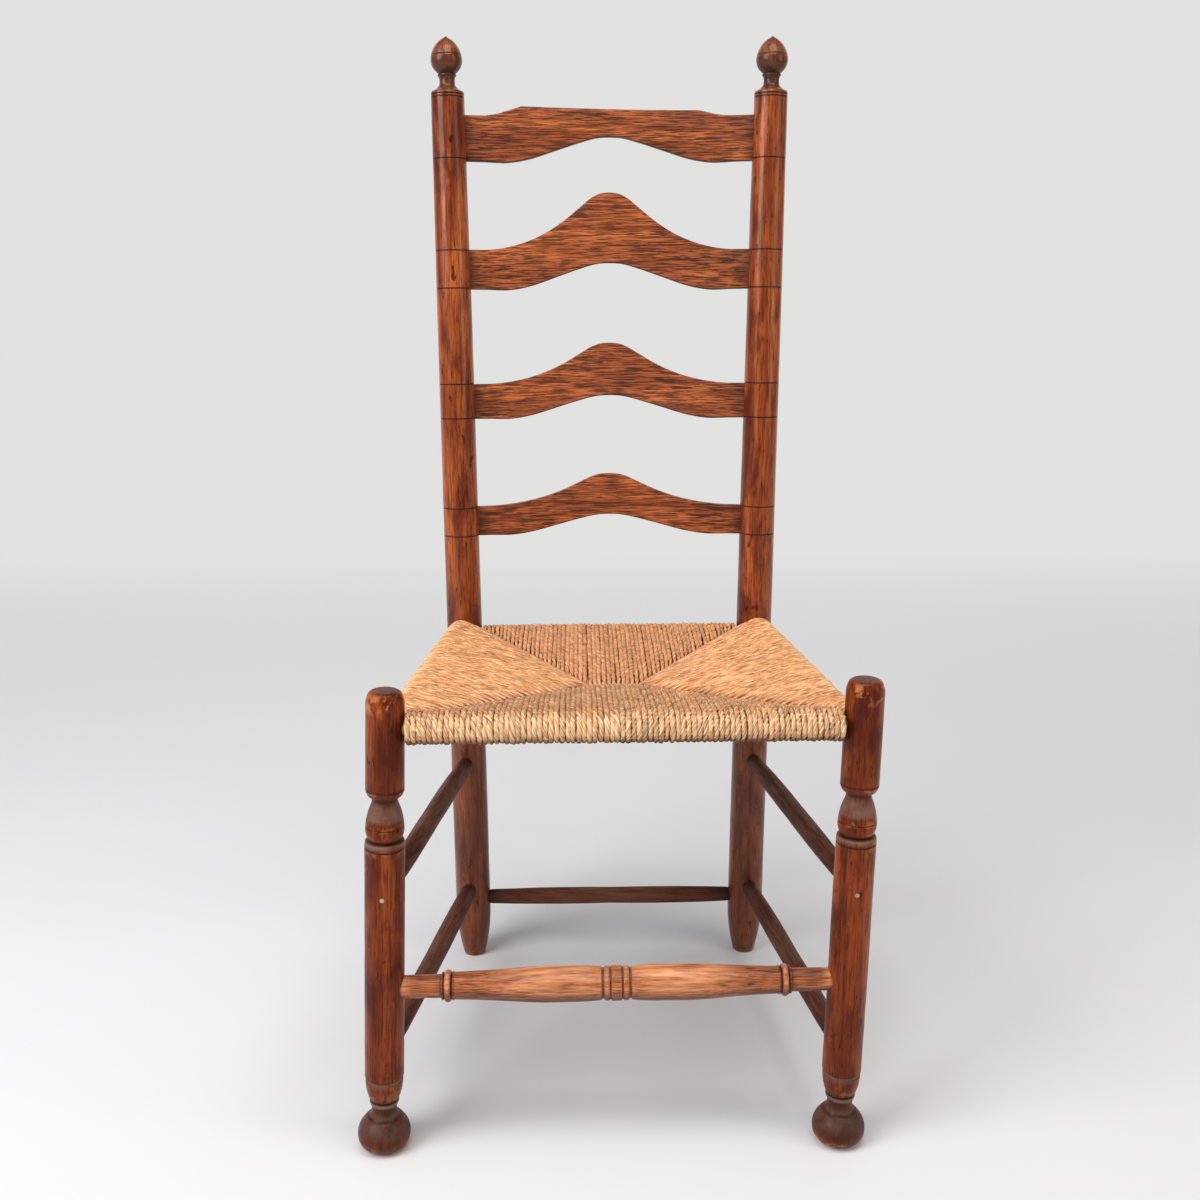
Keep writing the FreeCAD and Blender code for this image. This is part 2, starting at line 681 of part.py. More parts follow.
def web_solid(points, thick_of):
    """Closed web between the rails: panels above, the same panels below, and upright sides."""
    under = {name: point - Vector(0, 0, thick_of(name)) for name, point in points.items()}
    panels = [
        ("front_left", "front_right", "seam_right", "seam_left"),
        ("front_left", "seam_left", "corner_left"),
        ("front_right", "corner_right", "seam_right"),
        ("corner_left", "seam_left", "side_left"),
        ("corner_right", "side_right", "seam_right"),
        ("side_left", "seam_left", "back_left"),
        ("side_right", "back_right", "seam_right"),
        ("back_left", "seam_left", "seam_right", "back_right"),
    ]
    faces = []
    for surface in (points, under):
        for panel in panels:
            # a panel of four corners may be slightly warped, so it is laid as two flat ones
            for i in range(1, len(panel) - 1):
                corners = [surface[panel[0]], surface[panel[i]], surface[panel[i + 1]]]
                faces.append(Part.Face(Part.makePolygon(corners + corners[:1])))
    rim = ["front_left", "front_right", "corner_right", "side_right",
           "back_right", "back_left", "side_left", "corner_left"]
    for i, name in enumerate(rim):
        after = rim[(i + 1) % len(rim)]
        for corners in ([points[name], points[after], under[after]],
                        [points[name], under[after], under[name]]):
            faces.append(Part.Face(Part.makePolygon(corners + corners[:1])))
    solid = Part.Solid(Part.Shell(faces))
    if solid.Volume < 0:
        solid.reverse()
    return solid.removeSplitter()


def round_roll(start, finish, radius, trim_start, trim_finish):
    """The rush wound round a rail, from one leg to the next."""
    along = (finish - start).normalize()
    length = (finish - start).Length - trim_start - trim_finish
    return Part.makeCylinder(radius, length, start + along * trim_start, along)


def front_roll(start, finish, trim):
    """The rush wound round the flat front rail."""
    along = (finish - start).normalize()
    deep = mm("front_rail_deep") + mm("rush_thick")
    high = mm("front_rail_high") + mm("rush_thick")
    ring = Part.Ellipse(start + along * trim, deep, high)
    ring.Axis = along
    ring.XAxis = Vector(0, 1, 0)
    face = Part.Face(Part.Wire(ring.toShape()))
    return face.extrude(along * ((finish - start).Length - 2 * trim))


def seat_thickness(name):
    if name.startswith("seam"):
        return mm("seam_thick")
    if name.startswith("front"):
        return 2 * (mm("front_rail_high") + mm("rush_thick")) - 0.6
    return 2 * (mm("rail_radius") + mm("rush_thick")) - 2.0


def stuffing_pad(points, names):
    """Chopped rush packed between the two layers of one panel."""
    shrink, skin = mm("pad_shrink"), mm("rush_thick") + 0.5
    upper = [points[name] - Vector(0, 0, skin) for name in names]
    lower = [points[name] - Vector(0, 0, seat_thickness(name) - skin) for name in names]
    pad_faces = []
    rings = []
    for ring in (upper, lower):
        centre = Vector(0, 0, 0)
        for corner in ring:
            centre += corner * (1.0 / len(ring))
        rings.append([centre + (corner - centre) * shrink for corner in ring])
    for ring in rings:
        for i in range(1, len(ring) - 1):
            corners = [ring[0], ring[i], ring[i + 1]]
            pad_faces.append(Part.Face(Part.makePolygon(corners + corners[:1])))
    top, bottom = rings
    for i in range(len(top)):
        j = (i + 1) % len(top)
        for corners in ([top[i], top[j], bottom[j]], [top[i], bottom[j], bottom[i]]):
            pad_faces.append(Part.Face(Part.makePolygon(corners + corners[:1])))
    solid = Part.Solid(Part.Shell(pad_faces))
    if solid.Volume < 0:
        solid.reverse()
    return solid.removeSplitter()


def shape_object(label, shape):
    piece = doc.addObject("Part::Feature", label)
    piece.Label = label
    piece.Shape = shape
    piece.Placement = Placement()
    return piece


# Building

SIDES = ((-1, "left"), (1, "right"))

legs, posts = {}, {}
for side, word in SIDES:
    legs[word] = front_leg(side, "front_leg_" + word, word + "_leg_height")
    posts[word] = rear_post(side, "rear_post_" + word)

slats = [slat(number, "slat_%d" % number) for number in (1, 2, 3, 4)]

rail_ends = {
    "front": (leg_axis(-1, mm("front_rail_z")), leg_axis(1, mm("front_rail_z"))),
    "back": (post_axis(-1, mm("back_rail_z")), post_axis(1, mm("back_rail_z"))),
}
for side, word in SIDES:
    rail_ends[word] = (leg_axis(side, mm("side_rail_front_z")), post_axis(side, mm("side_rail_rear_z")))

rails = {"front": front_rail()}
for word in ("back", "left", "right"):
    rails[word] = round_rail("seat_rail_" + word, *rail_ends[word])

front_bar = front_stretcher()
rear_bar = plain_stretcher(
    "rear_stretcher",
    post_axis(-1, mm("rear_stretcher_z")),
    post_axis(1, mm("rear_stretcher_z")),
    size("rear_stretcher_radius"),
    size("post_low_radius"),
    size("post_low_radius"),
)
upper_bars, lower_bars = {}, {}
for side, word in SIDES:
    for level, bars in (("upper", upper_bars), ("lower", lower_bars)):
        bars[word] = plain_stretcher(
            "side_stretcher_%s_%s" % (level, word),
            leg_axis(side, mm(level + "_front_z")),
            post_axis(side, mm(level + "_rear_z")),
            size("side_stretcher_radius"),
            size("leg_radius"),
            size("post_low_radius"),
        )

# Nails driven from the front through each leg into the tenon of the upper side stretcher
nails = {}
for side, word in SIDES:
    tip_in = leg_axis(side, mm("upper_front_z"))
    start = tip_in - Vector(0, mm("leg_radius") + 0.4, 0)
    nail = turned("tenon_nail_" + word, [
        (size("nail_head_radius"), 0),
        (size("nail_head_radius"), 1.0),
        (size("nail_radius"), 1.2),
        (size("nail_radius"), size("nail_long") - 3.0),
        (0.2, size("nail_long")),
    ])
    lay(nail, start, start + Vector(0, 1, 0))
    nails[word] = nail
doc.recompute()


def cut_piece(label, base, tools):
    """The base piece less the pieces let into it, as one boolean."""
    group = doc.addObject("Part::Compound", label + "_let_in")
    group.Links = tools
    piece = doc.addObject("Part::Cut", label)
    piece.Label = label
    piece.Base = base
    piece.Tool = group
    piece.Refine = True
    return piece


def socket_end(name, end, inward, radius):
    """Empty bottom of a blind socket, past the end of its tenon."""
    spare = doc.addObject("Part::Cylinder", name)
    spare.setExpression("Radius", radius)
    spare.setExpression("Height", "Sizes.socket_spare + 1")
    past = mm("tenon_past_axis")
    spare.Placement = Placement(end + inward * (past - 1.0), Rotation(Vector(0, 0, 1), inward))
    return spare


floor = doc.addObject("Part::Box", "below_floor")
floor.Length, floor.Width, floor.Height = 900.0, 900.0, 40.0
floor.Placement = Placement(Vector(-450, -450, -40), Rotation())

RAIL_TENON = "Sizes.rail_tenon_radius"
BAR_TENON = "Sizes.stretcher_tenon_radius"
FRONT_TENON = "Sizes.front_tenon_radius"


def sockets(word, name, joints):
    """Socket bottoms of one upright: (own end of the member, its other end, tenon radius)."""
    made = []
    for number, (near, far, radius) in enumerate(joints, start=1):
        inward = (near - far).normalize()
        made.append(socket_end("%s_%s_socket_%d" % (name, word, number), near, inward, radius))
    return made


finished = {}
for side, word in SIDES:
    leg_upper = (leg_axis(side, mm("upper_front_z")), post_axis(side, mm("upper_rear_z")))
    leg_lower = (leg_axis(side, mm("lower_front_z")), post_axis(side, mm("lower_rear_z")))
    here = 0 if side < 0 else 1
    front_line = (leg_axis(-1, mm("front_stretcher_left_z")), leg_axis(1, mm("front_stretcher_right_z")))
    rear_line = (post_axis(-1, mm("rear_stretcher_z")), post_axis(1, mm("rear_stretcher_z")))
    leg_spare = sockets(word, "leg", [
        (rail_ends["front"][here], rail_ends["front"][1 - here], RAIL_TENON),
        (rail_ends[word][0], rail_ends[word][1], RAIL_TENON),
        (front_line[here], front_line[1 - here], FRONT_TENON),
        (leg_upper[0], leg_upper[1], BAR_TENON),
        (leg_lower[0], leg_lower[1], BAR_TENON),
    ])
    post_spare = sockets(word, "post", [
        (rail_ends["back"][here], rail_ends["back"][1 - here], RAIL_TENON),
        (rail_ends[word][1], rail_ends[word][0], RAIL_TENON),
        (rear_line[here], rear_line[1 - here], BAR_TENON),
        (leg_upper[1], leg_upper[0], BAR_TENON),
        (leg_lower[1], leg_lower[0], BAR_TENON),
    ])
    leg_tools = [floor, rails["front"], rails[word], front_bar, upper_bars[word],
                 lower_bars[word], nails[word]] + leg_spare
    post_tools = [floor, rails["back"], rails[word], rear_bar, upper_bars[word],
                  lower_bars[word]] + slats + post_spare
    finished["front_leg_" + word] = cut_piece("front_leg_" + word, legs[word], leg_tools)
    finished["rear_post_" + word] = cut_piece("rear_post_" + word, posts[word], post_tools)
    bar_name = "side_stretcher_upper_" + word
    upper_bars[word].Label = bar_name + "_whole"
    finished[bar_name] = cut_piece(bar_name + "_nailed", upper_bars[word], [nails[word]])
    finished[bar_name].Label = bar_name
doc.recompute()

# The woven seat, fitted round the rails and against the legs
seat = seat_points()
roll = mm("rail_radius") + mm("rush_thick")
seat_shape = web_solid(seat, seat_thickness).multiFuse([
    front_roll(rail_ends["front"][0], rail_ends["front"][1], 12.5),
    round_roll(rail_ends["back"][0], rail_ends["back"][1], roll, 15.0, 15.0),
    round_roll(rail_ends["left"][0], rail_ends["left"][1], roll - 1.0, 12.5, 15.0),
    round_roll(rail_ends["right"][0], rail_ends["right"][1], roll - 1.0, 12.5, 15.0),
])
PAD_CORNERS = {
    "front": ("front_left", "front_right", "seam_right", "seam_left"),
    "back": ("back_left", "seam_left", "seam_right", "back_right"),
    "left": ("corner_left", "seam_left", "side_left"),
    "right": ("corner_right", "side_right", "seam_right"),
}
pads = {}
for place, names in PAD_CORNERS.items():
    pads[place] = shape_object("seat_stuffing_" + place, stuffing_pad(seat, names))
fitted = [piece.Shape for piece in list(legs.values()) + list(posts.values())]
fitted += [piece.Shape for piece in list(rails.values()) + list(pads.values())]
seat_shape = seat_shape.cut(fitted).removeSplitter()
rush = shape_object("rush_seat", seat_shape)

nail_group = doc.addObject("Part::Compound", "tenon_nails")
nail_group.Label = "tenon_nails"
nail_group.Links = [nails["left"], nails["right"]]

doc.recompute()

nodes = dict(finished)
nodes.update({"slat_%d" % number: slats[number - 1] for number in (1, 2, 3, 4)})
nodes.update({"seat_rail_" + place: rails[place] for place in rails})
nodes.update({"seat_stuffing_" + place: pads[place] for place in pads})
nodes.update({"side_stretcher_lower_" + word: lower_bars[word] for word in lower_bars})
nodes["front_stretcher"] = front_bar
nodes["rear_stretcher"] = rear_bar
nodes["rush_seat"] = rush
nodes["tenon_nails"] = nail_group

problems = []
for item in doc.Objects:
    if "Invalid" in item.State or "Error" in item.State:
        problems.append("%s: %s" % (item.Name, item.State))
for name, piece in sorted(nodes.items()):
    shape = piece.Shape
    if shape.isNull() or not shape.isValid():
        problems.append(name + ": bad shape")
    elif piece.Label != name:
        problems.append(name + ": label is " + piece.Label)
    else:
        wanted = 2 if name == "tenon_nails" else 1
        if len(shape.Solids) != wanted:
            problems.append("%s: %d solids" % (name, len(shape.Solids)))
if problems:
    raise RuntimeError("; ".join(problems))

for name, piece in sorted(nodes.items()):
    piece.Shape.exportStep(os.path.join("parts", name + ".step"))
print("%d pieces written" % len(nodes))
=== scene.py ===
import math
import random

import bpy
from mathutils import Matrix, Vector, noise


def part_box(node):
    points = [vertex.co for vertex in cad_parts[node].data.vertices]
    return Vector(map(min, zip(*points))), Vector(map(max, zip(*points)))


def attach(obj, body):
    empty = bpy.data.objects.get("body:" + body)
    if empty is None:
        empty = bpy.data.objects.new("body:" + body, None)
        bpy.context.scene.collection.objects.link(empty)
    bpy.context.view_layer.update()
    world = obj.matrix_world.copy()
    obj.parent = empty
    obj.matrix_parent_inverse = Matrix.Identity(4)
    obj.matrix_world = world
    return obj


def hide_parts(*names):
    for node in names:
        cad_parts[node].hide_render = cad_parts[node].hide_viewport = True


bl_info = {
    "name": "Ladderback Chair",
    "version": (1, 0, 0),
    "blender": (4, 5, 0),
    "location": "3D View > Sidebar > Chair",
    "description": "Dresses a rush-seated ladderback chair: turned posts, slats, stretchers and seat",
    "category": "Object",
}

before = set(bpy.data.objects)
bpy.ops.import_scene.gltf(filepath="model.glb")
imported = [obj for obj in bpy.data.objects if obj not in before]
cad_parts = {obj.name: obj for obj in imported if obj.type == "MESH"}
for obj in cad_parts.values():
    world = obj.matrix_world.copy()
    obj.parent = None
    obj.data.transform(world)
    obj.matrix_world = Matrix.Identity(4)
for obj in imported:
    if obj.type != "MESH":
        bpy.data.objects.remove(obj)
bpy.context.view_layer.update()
MM = 0.001
BODY = "root"
SIDES = ((-1, "left"), (1, "right"))

# Where the chair's uprights stand, in millimetres: the same driving sizes as the construction
FRONT_Y = -207.1
REAR_Y = 174.7
FRONT_FOOT_X = 226.2
FRONT_TOP_X = {-1: -205.5, 1: 234.2}
FRONT_TOP_BACK = 2.7
LEG_HEIGHT = {-1: 473.5, 1: 480.0}
REAR_FOOT_X = {-1: -165.0, 1: 179.1}
REAR_TOP_X = {-1: -171.6, 1: 192.2}
REAR_LEAN = 41.2
POST_HEIGHT = 1098.2

# Turned pieces and slats, in millimetres
LEG_RADIUS = 19.0
POST_RADIUS = 21.5
CUT = 0.7
SLAT_THICK = 9.0
RING_HEIGHTS = (539.9, 573.1, 678.4, 717.9, 826.3, 868.3, 968.3, 1033.8, 1037.0)
TENON_PAST_AXIS = 5.0
FRONT_TENON = 9.0
PLAIN_TENON = 7.8
ROW_STEP = 8.0
EDGE_ROW = 1.2

# Seat, in millimetres
FRONT_RAIL_Z = 437.5
SIDE_RAIL_FRONT_Z = 423.5
SIDE_RAIL_REAR_Z = 426.0
BACK_RAIL_Z = 412.0
RAIL_RADIUS = 10.0
FRONT_RAIL_DEEP = 15.0
FRONT_RAIL_HIGH = 9.0
SEAM_X = 7.1
SEAM_Y = -19.0
SEAM_HALF = 23.0
SEAM_Z = 421.0
SEAM_THICK = 20.0
WEAVE_THICK = 6.6
SIDE_WEAVE_THICK = 5.65

# Rush strands: where they go into a seam or under the next panel, in millimetres
STRAND_STEP = 5.0
END_DIP = 6.0
DIVE = 8.0
DRAWN_DIVE = 13.0
DRAWN_ASIDE = 15.0
DRAWN_REACH = 24.0
SHADED_REACH = 9.0
TAPER_FROM = 9.0
TAPER_REACH = 24.0
SEAM_PAST_RAIL = 5.0

# Rush strands: faces round a strand, steps round its rail, and the side panels' longer twist
SECTION_SIDES = 12
ROLL_STEPS = 12
SIDE_TWIST = 2.2


def leg_axis(side, height):
    """A point on a front leg's axis, in millimetres; side is -1 for left and 1 for right."""
    share = height / LEG_HEIGHT[side]
    foot = side * FRONT_FOOT_X
    return Vector((foot + (FRONT_TOP_X[side] - foot) * share, FRONT_Y + FRONT_TOP_BACK * share, height))


def post_axis(side, height):
    """A point on a rear post's axis, in millimetres."""
    share = height / POST_HEIGHT
    foot = REAR_FOOT_X[side]
    return Vector((foot + (REAR_TOP_X[side] - foot) * share, REAR_Y + REAR_LEAN * share, height))


# User settings

class ChairFinish(bpy.types.PropertyGroup):
    """Colours of the visible pieces"""
    legs: bpy.props.FloatVectorProperty(
        name="Front legs", description="Colour of the varnished front legs",
        subtype="COLOR", size=3, min=0, max=1, default=(0.190, 0.030, 0.007))
    posts: bpy.props.FloatVectorProperty(
        name="Rear posts", description="Colour of the varnished rear posts",
        subtype="COLOR", size=3, min=0, max=1, default=(0.270, 0.052, 0.014))
    slats: bpy.props.FloatVectorProperty(
        name="Slats", description="Colour of the varnished slats",
        subtype="COLOR", size=3, min=0, max=1, default=(0.400, 0.090, 0.026))
    front_bar: bpy.props.FloatVectorProperty(
        name="Front stretcher", description="Colour of the worn front stretcher",
        subtype="COLOR", size=3, min=0, max=1, default=(0.430, 0.110, 0.038))
    bars: bpy.props.FloatVectorProperty(
        name="Plain stretchers", description="Colour of the side and rear stretchers",
        subtype="COLOR", size=3, min=0, max=1, default=(0.125, 0.025, 0.010))
    rush: bpy.props.FloatVectorProperty(
        name="Rush", description="Colour of the side panels of the seat",
        subtype="COLOR", size=3, min=0, max=1, default=(0.95, 0.405, 0.150))


class ChairSizes(bpy.types.PropertyGroup):
    """Fineness of the turning, and the rush strands"""
    lathe_sides: bpy.props.IntProperty(
        name="Lathe sides", description="Faces round a turned piece", default=72, min=16, max=128)
    strand_pitch: bpy.props.FloatProperty(
        name="Strand pitch", description="Spacing of the rush strands",
        subtype="DISTANCE", unit="LENGTH", default=5.0 * MM, min=4 * MM, max=12 * MM)
    strand_radius: bpy.props.FloatProperty(
        name="Strand radius", description="Half the thickness of a rush strand",
        subtype="DISTANCE", unit="LENGTH", default=2.7 * MM, min=2 * MM, max=6 * MM)
    strand_turn: bpy.props.FloatProperty(
        name="Strand turn", description="Length of strand in one full twist",
        subtype="DISTANCE", unit="LENGTH", default=25 * MM, min=10 * MM, max=80 * MM)


def finish_settings():
    return bpy.context.scene.chair_finish


def size_settings():
    return bpy.context.scene.chair_sizes


def strand_radius():
    """Half the thickness of a rush strand, in millimetres."""
    return size_settings().strand_radius / MM


# Small helpers for modelling

def deselect():
    if bpy.context.object and bpy.context.object.mode != "OBJECT":
        bpy.ops.object.mode_set(mode="OBJECT")
    bpy.ops.object.select_all(action="DESELECT")


def select_only(obj):
    deselect()
    obj.select_set(True)
    bpy.context.view_layer.objects.active = obj


def edit_all():
    """Opens the active piece for editing, with all of it selected."""
    bpy.ops.object.mode_set(mode="EDIT")
    bpy.ops.mesh.select_all(action="SELECT")


def edit_done():
    bpy.ops.object.mode_set(mode="OBJECT")


def smooth_below(degrees):
    bpy.ops.object.shade_smooth_by_angle(angle=math.radians(degrees))


def dress(obj, look, slot, *nodes):
    """Gives a finished piece its look and its body, and hides the construction nodes that it stands
    for.
    """
    obj.data.materials.clear()
    obj.data.materials.append(material(look))
    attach(obj, BODY)
    if nodes:
        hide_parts(*nodes)


def straight_rows(length):
    """Where a straight edge is divided, as shares of its length.

    The rows let a long surface wander a little, and one close to each end holds the edge and
    the grime there.
    """
    rows = max(1, int(length / ROW_STEP))
    shares = [k / rows for k in range(1, rows)]
    if length > 5.0:
        inner = [v for v in shares if 3 < v * length < length - 3]
        shares = [EDGE_ROW / length] + inner + [1 - EDGE_ROW / length]
    return shares


def round_corners(corners):
    """Points along an outline of (radius, height, sag) corners, its bent edges in short steps."""
    points = []
    for (x0, y0, *sag), (x1, y1, *_) in zip(corners, corners[1:]):
        points.append((x0, y0))
        run, rise = x1 - x0, y1 - y0
        chord = math.hypot(run, rise)
        if not sag:
            points += [(x0 + run * v, y0 + rise * v) for v in straight_rows(chord)]
            continue
        steps = max(3, min(10, int(abs(sag[0]) * 3) + 3))
        for k in range(1, steps):
            share = k / steps
            bulge = sag[0] * 4 * share * (1 - share)
            points.append((x0 + run * share - rise / chord * bulge,
                           y0 + rise * share + run / chord * bulge))
    points.append(corners[-1][:2])
    return points


def turn_on_lathe(name, corners, grime_and_shade_of, wear_of, seed, wander=0.25):
    """A solid of revolution on the Z axis: its outline is drawn by extruding one vertex, then spun."""
    outline = round_corners([(0.0, corners[0][1])] + corners + [(0.0, corners[-1][1])])
    deselect()
    bpy.ops.mesh.primitive_plane_add(size=0.01, location=(0, 0, 0))
    obj = bpy.context.object
    obj.name = name
    obj.data.name = name
    edit_all()
    bpy.ops.mesh.merge(type="CENTER")
    bpy.ops.transform.translate(value=(outline[0][0] * MM, 0, outline[0][1] * MM))
    for (x0, z0), (x1, z1) in zip(outline, outline[1:]):
        step = ((x1 - x0) * MM, 0, (z1 - z0) * MM)
        bpy.ops.mesh.extrude_region_move(TRANSFORM_OT_translate={"value": step})
    bpy.ops.mesh.select_all(action="SELECT")
    sides = size_settings().lathe_sides
    bpy.ops.mesh.spin(steps=sides, angle=math.tau, center=(0, 0, 0), axis=(0, 0, 1))
    bpy.ops.mesh.select_all(action="SELECT")
    bpy.ops.mesh.remove_doubles(threshold=1e-6)
    bpy.ops.mesh.normals_make_consistent(inside=False)
    edit_done()
    mark_surface(obj, grime_and_shade_of, wear_of, seed)
    wander_surface(obj, wander, seed)
    smooth_below(38)
    return obj


def wander_surface(obj, depth, seed):
    """Hand work and age: the surface wanders in and out by a fraction of a millimetre."""
    shift = Vector((seed * 3.1, seed * 1.7, seed * 0.9))
    for vertex in obj.data.vertices:
        x, y, z = vertex.co
        level = noise.noise(Vector((x * 40, y * 40, z * 9)) + shift)
        level += 0.5 * noise.noise(Vector((x * 110, y * 110, z * 40)) + shift)
        outward = Vector((x, y, 0))
        if outward.length > MM:
            vertex.co += outward.normalized() * level * depth * MM


def surface_marks(mesh):
    """Adds the three stored marks that the wood finishes read, and returns their values."""
    for name, kind in (("grain", "FLOAT_VECTOR"), ("grime_and_shade", "FLOAT"), ("wear_and_highlight", "FLOAT")):
        mesh.attributes.new(name, kind, "POINT")
    return [mesh.attributes[name].data for name in ("grain", "grime_and_shade", "wear_and_highlight")]


def mark_surface(obj, grime_and_shade_of, wear_of, seed):
    """Stores the grain's own coordinates, and how grimy and how worn each point is; on some pieces the
    grime is partly painted shade and the wear partly a painted highlight.
    """
    grain, grime_and_shade, wear_and_highlight = surface_marks(obj.data)
    for i, vertex in enumerate(obj.data.vertices):
        x, y, z = vertex.co
        grain[i].vector = (x, y, z + seed * 2.37)
        height, radius = z / MM, math.hypot(x, y) / MM
        grime_and_shade[i].value = grime_and_shade_of(height, radius)
        wear_and_highlight[i].value = wear_of(height, radius)


def score(radius, height):
    """Corners of a fine line cut round a turned piece, with a loop either side to hold it."""
    return [(radius, height - 1.4), (radius, height - 0.45), (radius - CUT, height),
            (radius, height + 0.45), (radius, height + 1.4)]


def near(height, places):
    """The strongest of several marks, each (height, half width, strength)."""
    level = 0.0
    for place, width, strength in places:
        away = abs(height - place) / width
        if away < 1:
            level = max(level, strength * (1 - away * away))
    return level


def lay(obj, start, finish, roll=0.0):
    """Puts a piece modelled upright along the line from start to finish, in millimetres."""
    along = (finish - start).normalized()
    turn = Vector((0, 0, 1)).rotation_difference(along).to_matrix().to_4x4()
    obj.matrix_world = Matrix.Translation(start * MM) @ turn @ Matrix.Rotation(roll, 4, "Z")
    select_only(obj)
    bpy.ops.object.transform_apply(location=True, rotation=True, scale=True)


def linked(name, data):
    """A new object in the scene's collection."""
    obj = bpy.data.objects.new(name, data)
    bpy.context.collection.objects.link(obj)
    return obj


# Materials

class Nodes:
    """Short calls that add and link shader nodes."""

    def __init__(self, name):
        self.material = bpy.data.materials.new(name)
        self.material.use_nodes = True
        self.tree = self.material.node_tree
        self.shader = self.tree.nodes["Principled BSDF"]

    def feed(self, value, socket):
        """Links a socket to another node's output, or sets it to a value."""
        if isinstance(value, bpy.types.NodeSocket):
            self.tree.links.new(value, socket)
        else:
            socket.default_value = value

    def add(self, kind, sockets=(), **values):
        node = self.tree.nodes.new(kind)
        for key, value in values.items():
            setattr(node, key, value)
        for key, value in dict(sockets).items():
            self.feed(value, node.inputs[key])
        return node

    def mark(self, name, output="Fac"):
        return self.add("ShaderNodeAttribute", attribute_name=name).outputs[output]

    def place(self):
        return self.add("ShaderNodeTexCoord").outputs["Object"]

    def noise(self, vector, scale, detail, rough, distort=0.0):
        return self.add("ShaderNodeTexNoise", {
            "Vector": vector, "Scale": scale, "Detail": detail, "Roughness": rough,
            "Distortion": distort}).outputs["Fac"]

    def grained(self, vector, stretch, scale, detail, rough, distort=0.0, turn=(0, 0, 0)):
        """Noise drawn out along the third axis; stretch is its scale across and along."""
        across_grain, along = stretch
        place = self.add("ShaderNodeMapping", {
            "Vector": vector, "Scale": (across_grain, across_grain, along), "Rotation": turn})
        return self.noise(place.outputs["Vector"], scale, detail, rough, distort)

    def ramp(self, value, low, high, start=0.0, finish=1.0):
        """Maps low..high to start..finish, held at the ends."""
        return self.add("ShaderNodeMapRange", {
            "Value": value, "From Min": low, "From Max": high, "To Min": start,
            "To Max": finish}, clamp=True).outputs["Result"]

    def math(self, operation, first, second):
        node = self.add("ShaderNodeMath", {0: first, 1: second}, operation=operation)
        return node.outputs["Value"]

    def mix(self, factor, first, second):
        """Mixes two colours, each a tuple or another node's output."""
        first, second = (c + (1.0,) if isinstance(c, tuple) else c for c in (first, second))
        sockets = {0: factor, 6: first, 7: second}
        return self.add("ShaderNodeMix", sockets, data_type="RGBA").outputs[2]

    def stain(self, base, field, low, high, strength, colour):
        """Lays a colour over the base, none where the field is low and its full strength where high."""
        return self.mix(self.ramp(field, low, high, 0, strength), base, colour)

    def bump(self, height, strength, distance, before=None):
        sockets = {"Strength": strength, "Distance": distance, "Height": height}
        if before:
            sockets["Normal"] = before
        return self.add("ShaderNodeBump", sockets).outputs["Normal"]

    def finish(self, colour, rough, normal, coat=0.0, coat_rough=0.1, specular=0.5):
        for key, value in (("Base Color", colour), ("Roughness", rough), ("Normal", normal),
                           ("Coat Weight", coat), ("Coat Roughness", coat_rough),
                           ("Specular IOR Level", specular)):
            self.feed(value, self.shader.inputs[key])
        return self.material


def scaled(colour, factor):
    return tuple(min(1.0, channel * factor) for channel in colour)


def tinted(colour, red, green, blue):
    return (colour[0] * red, colour[1] * green, colour[2] * blue)


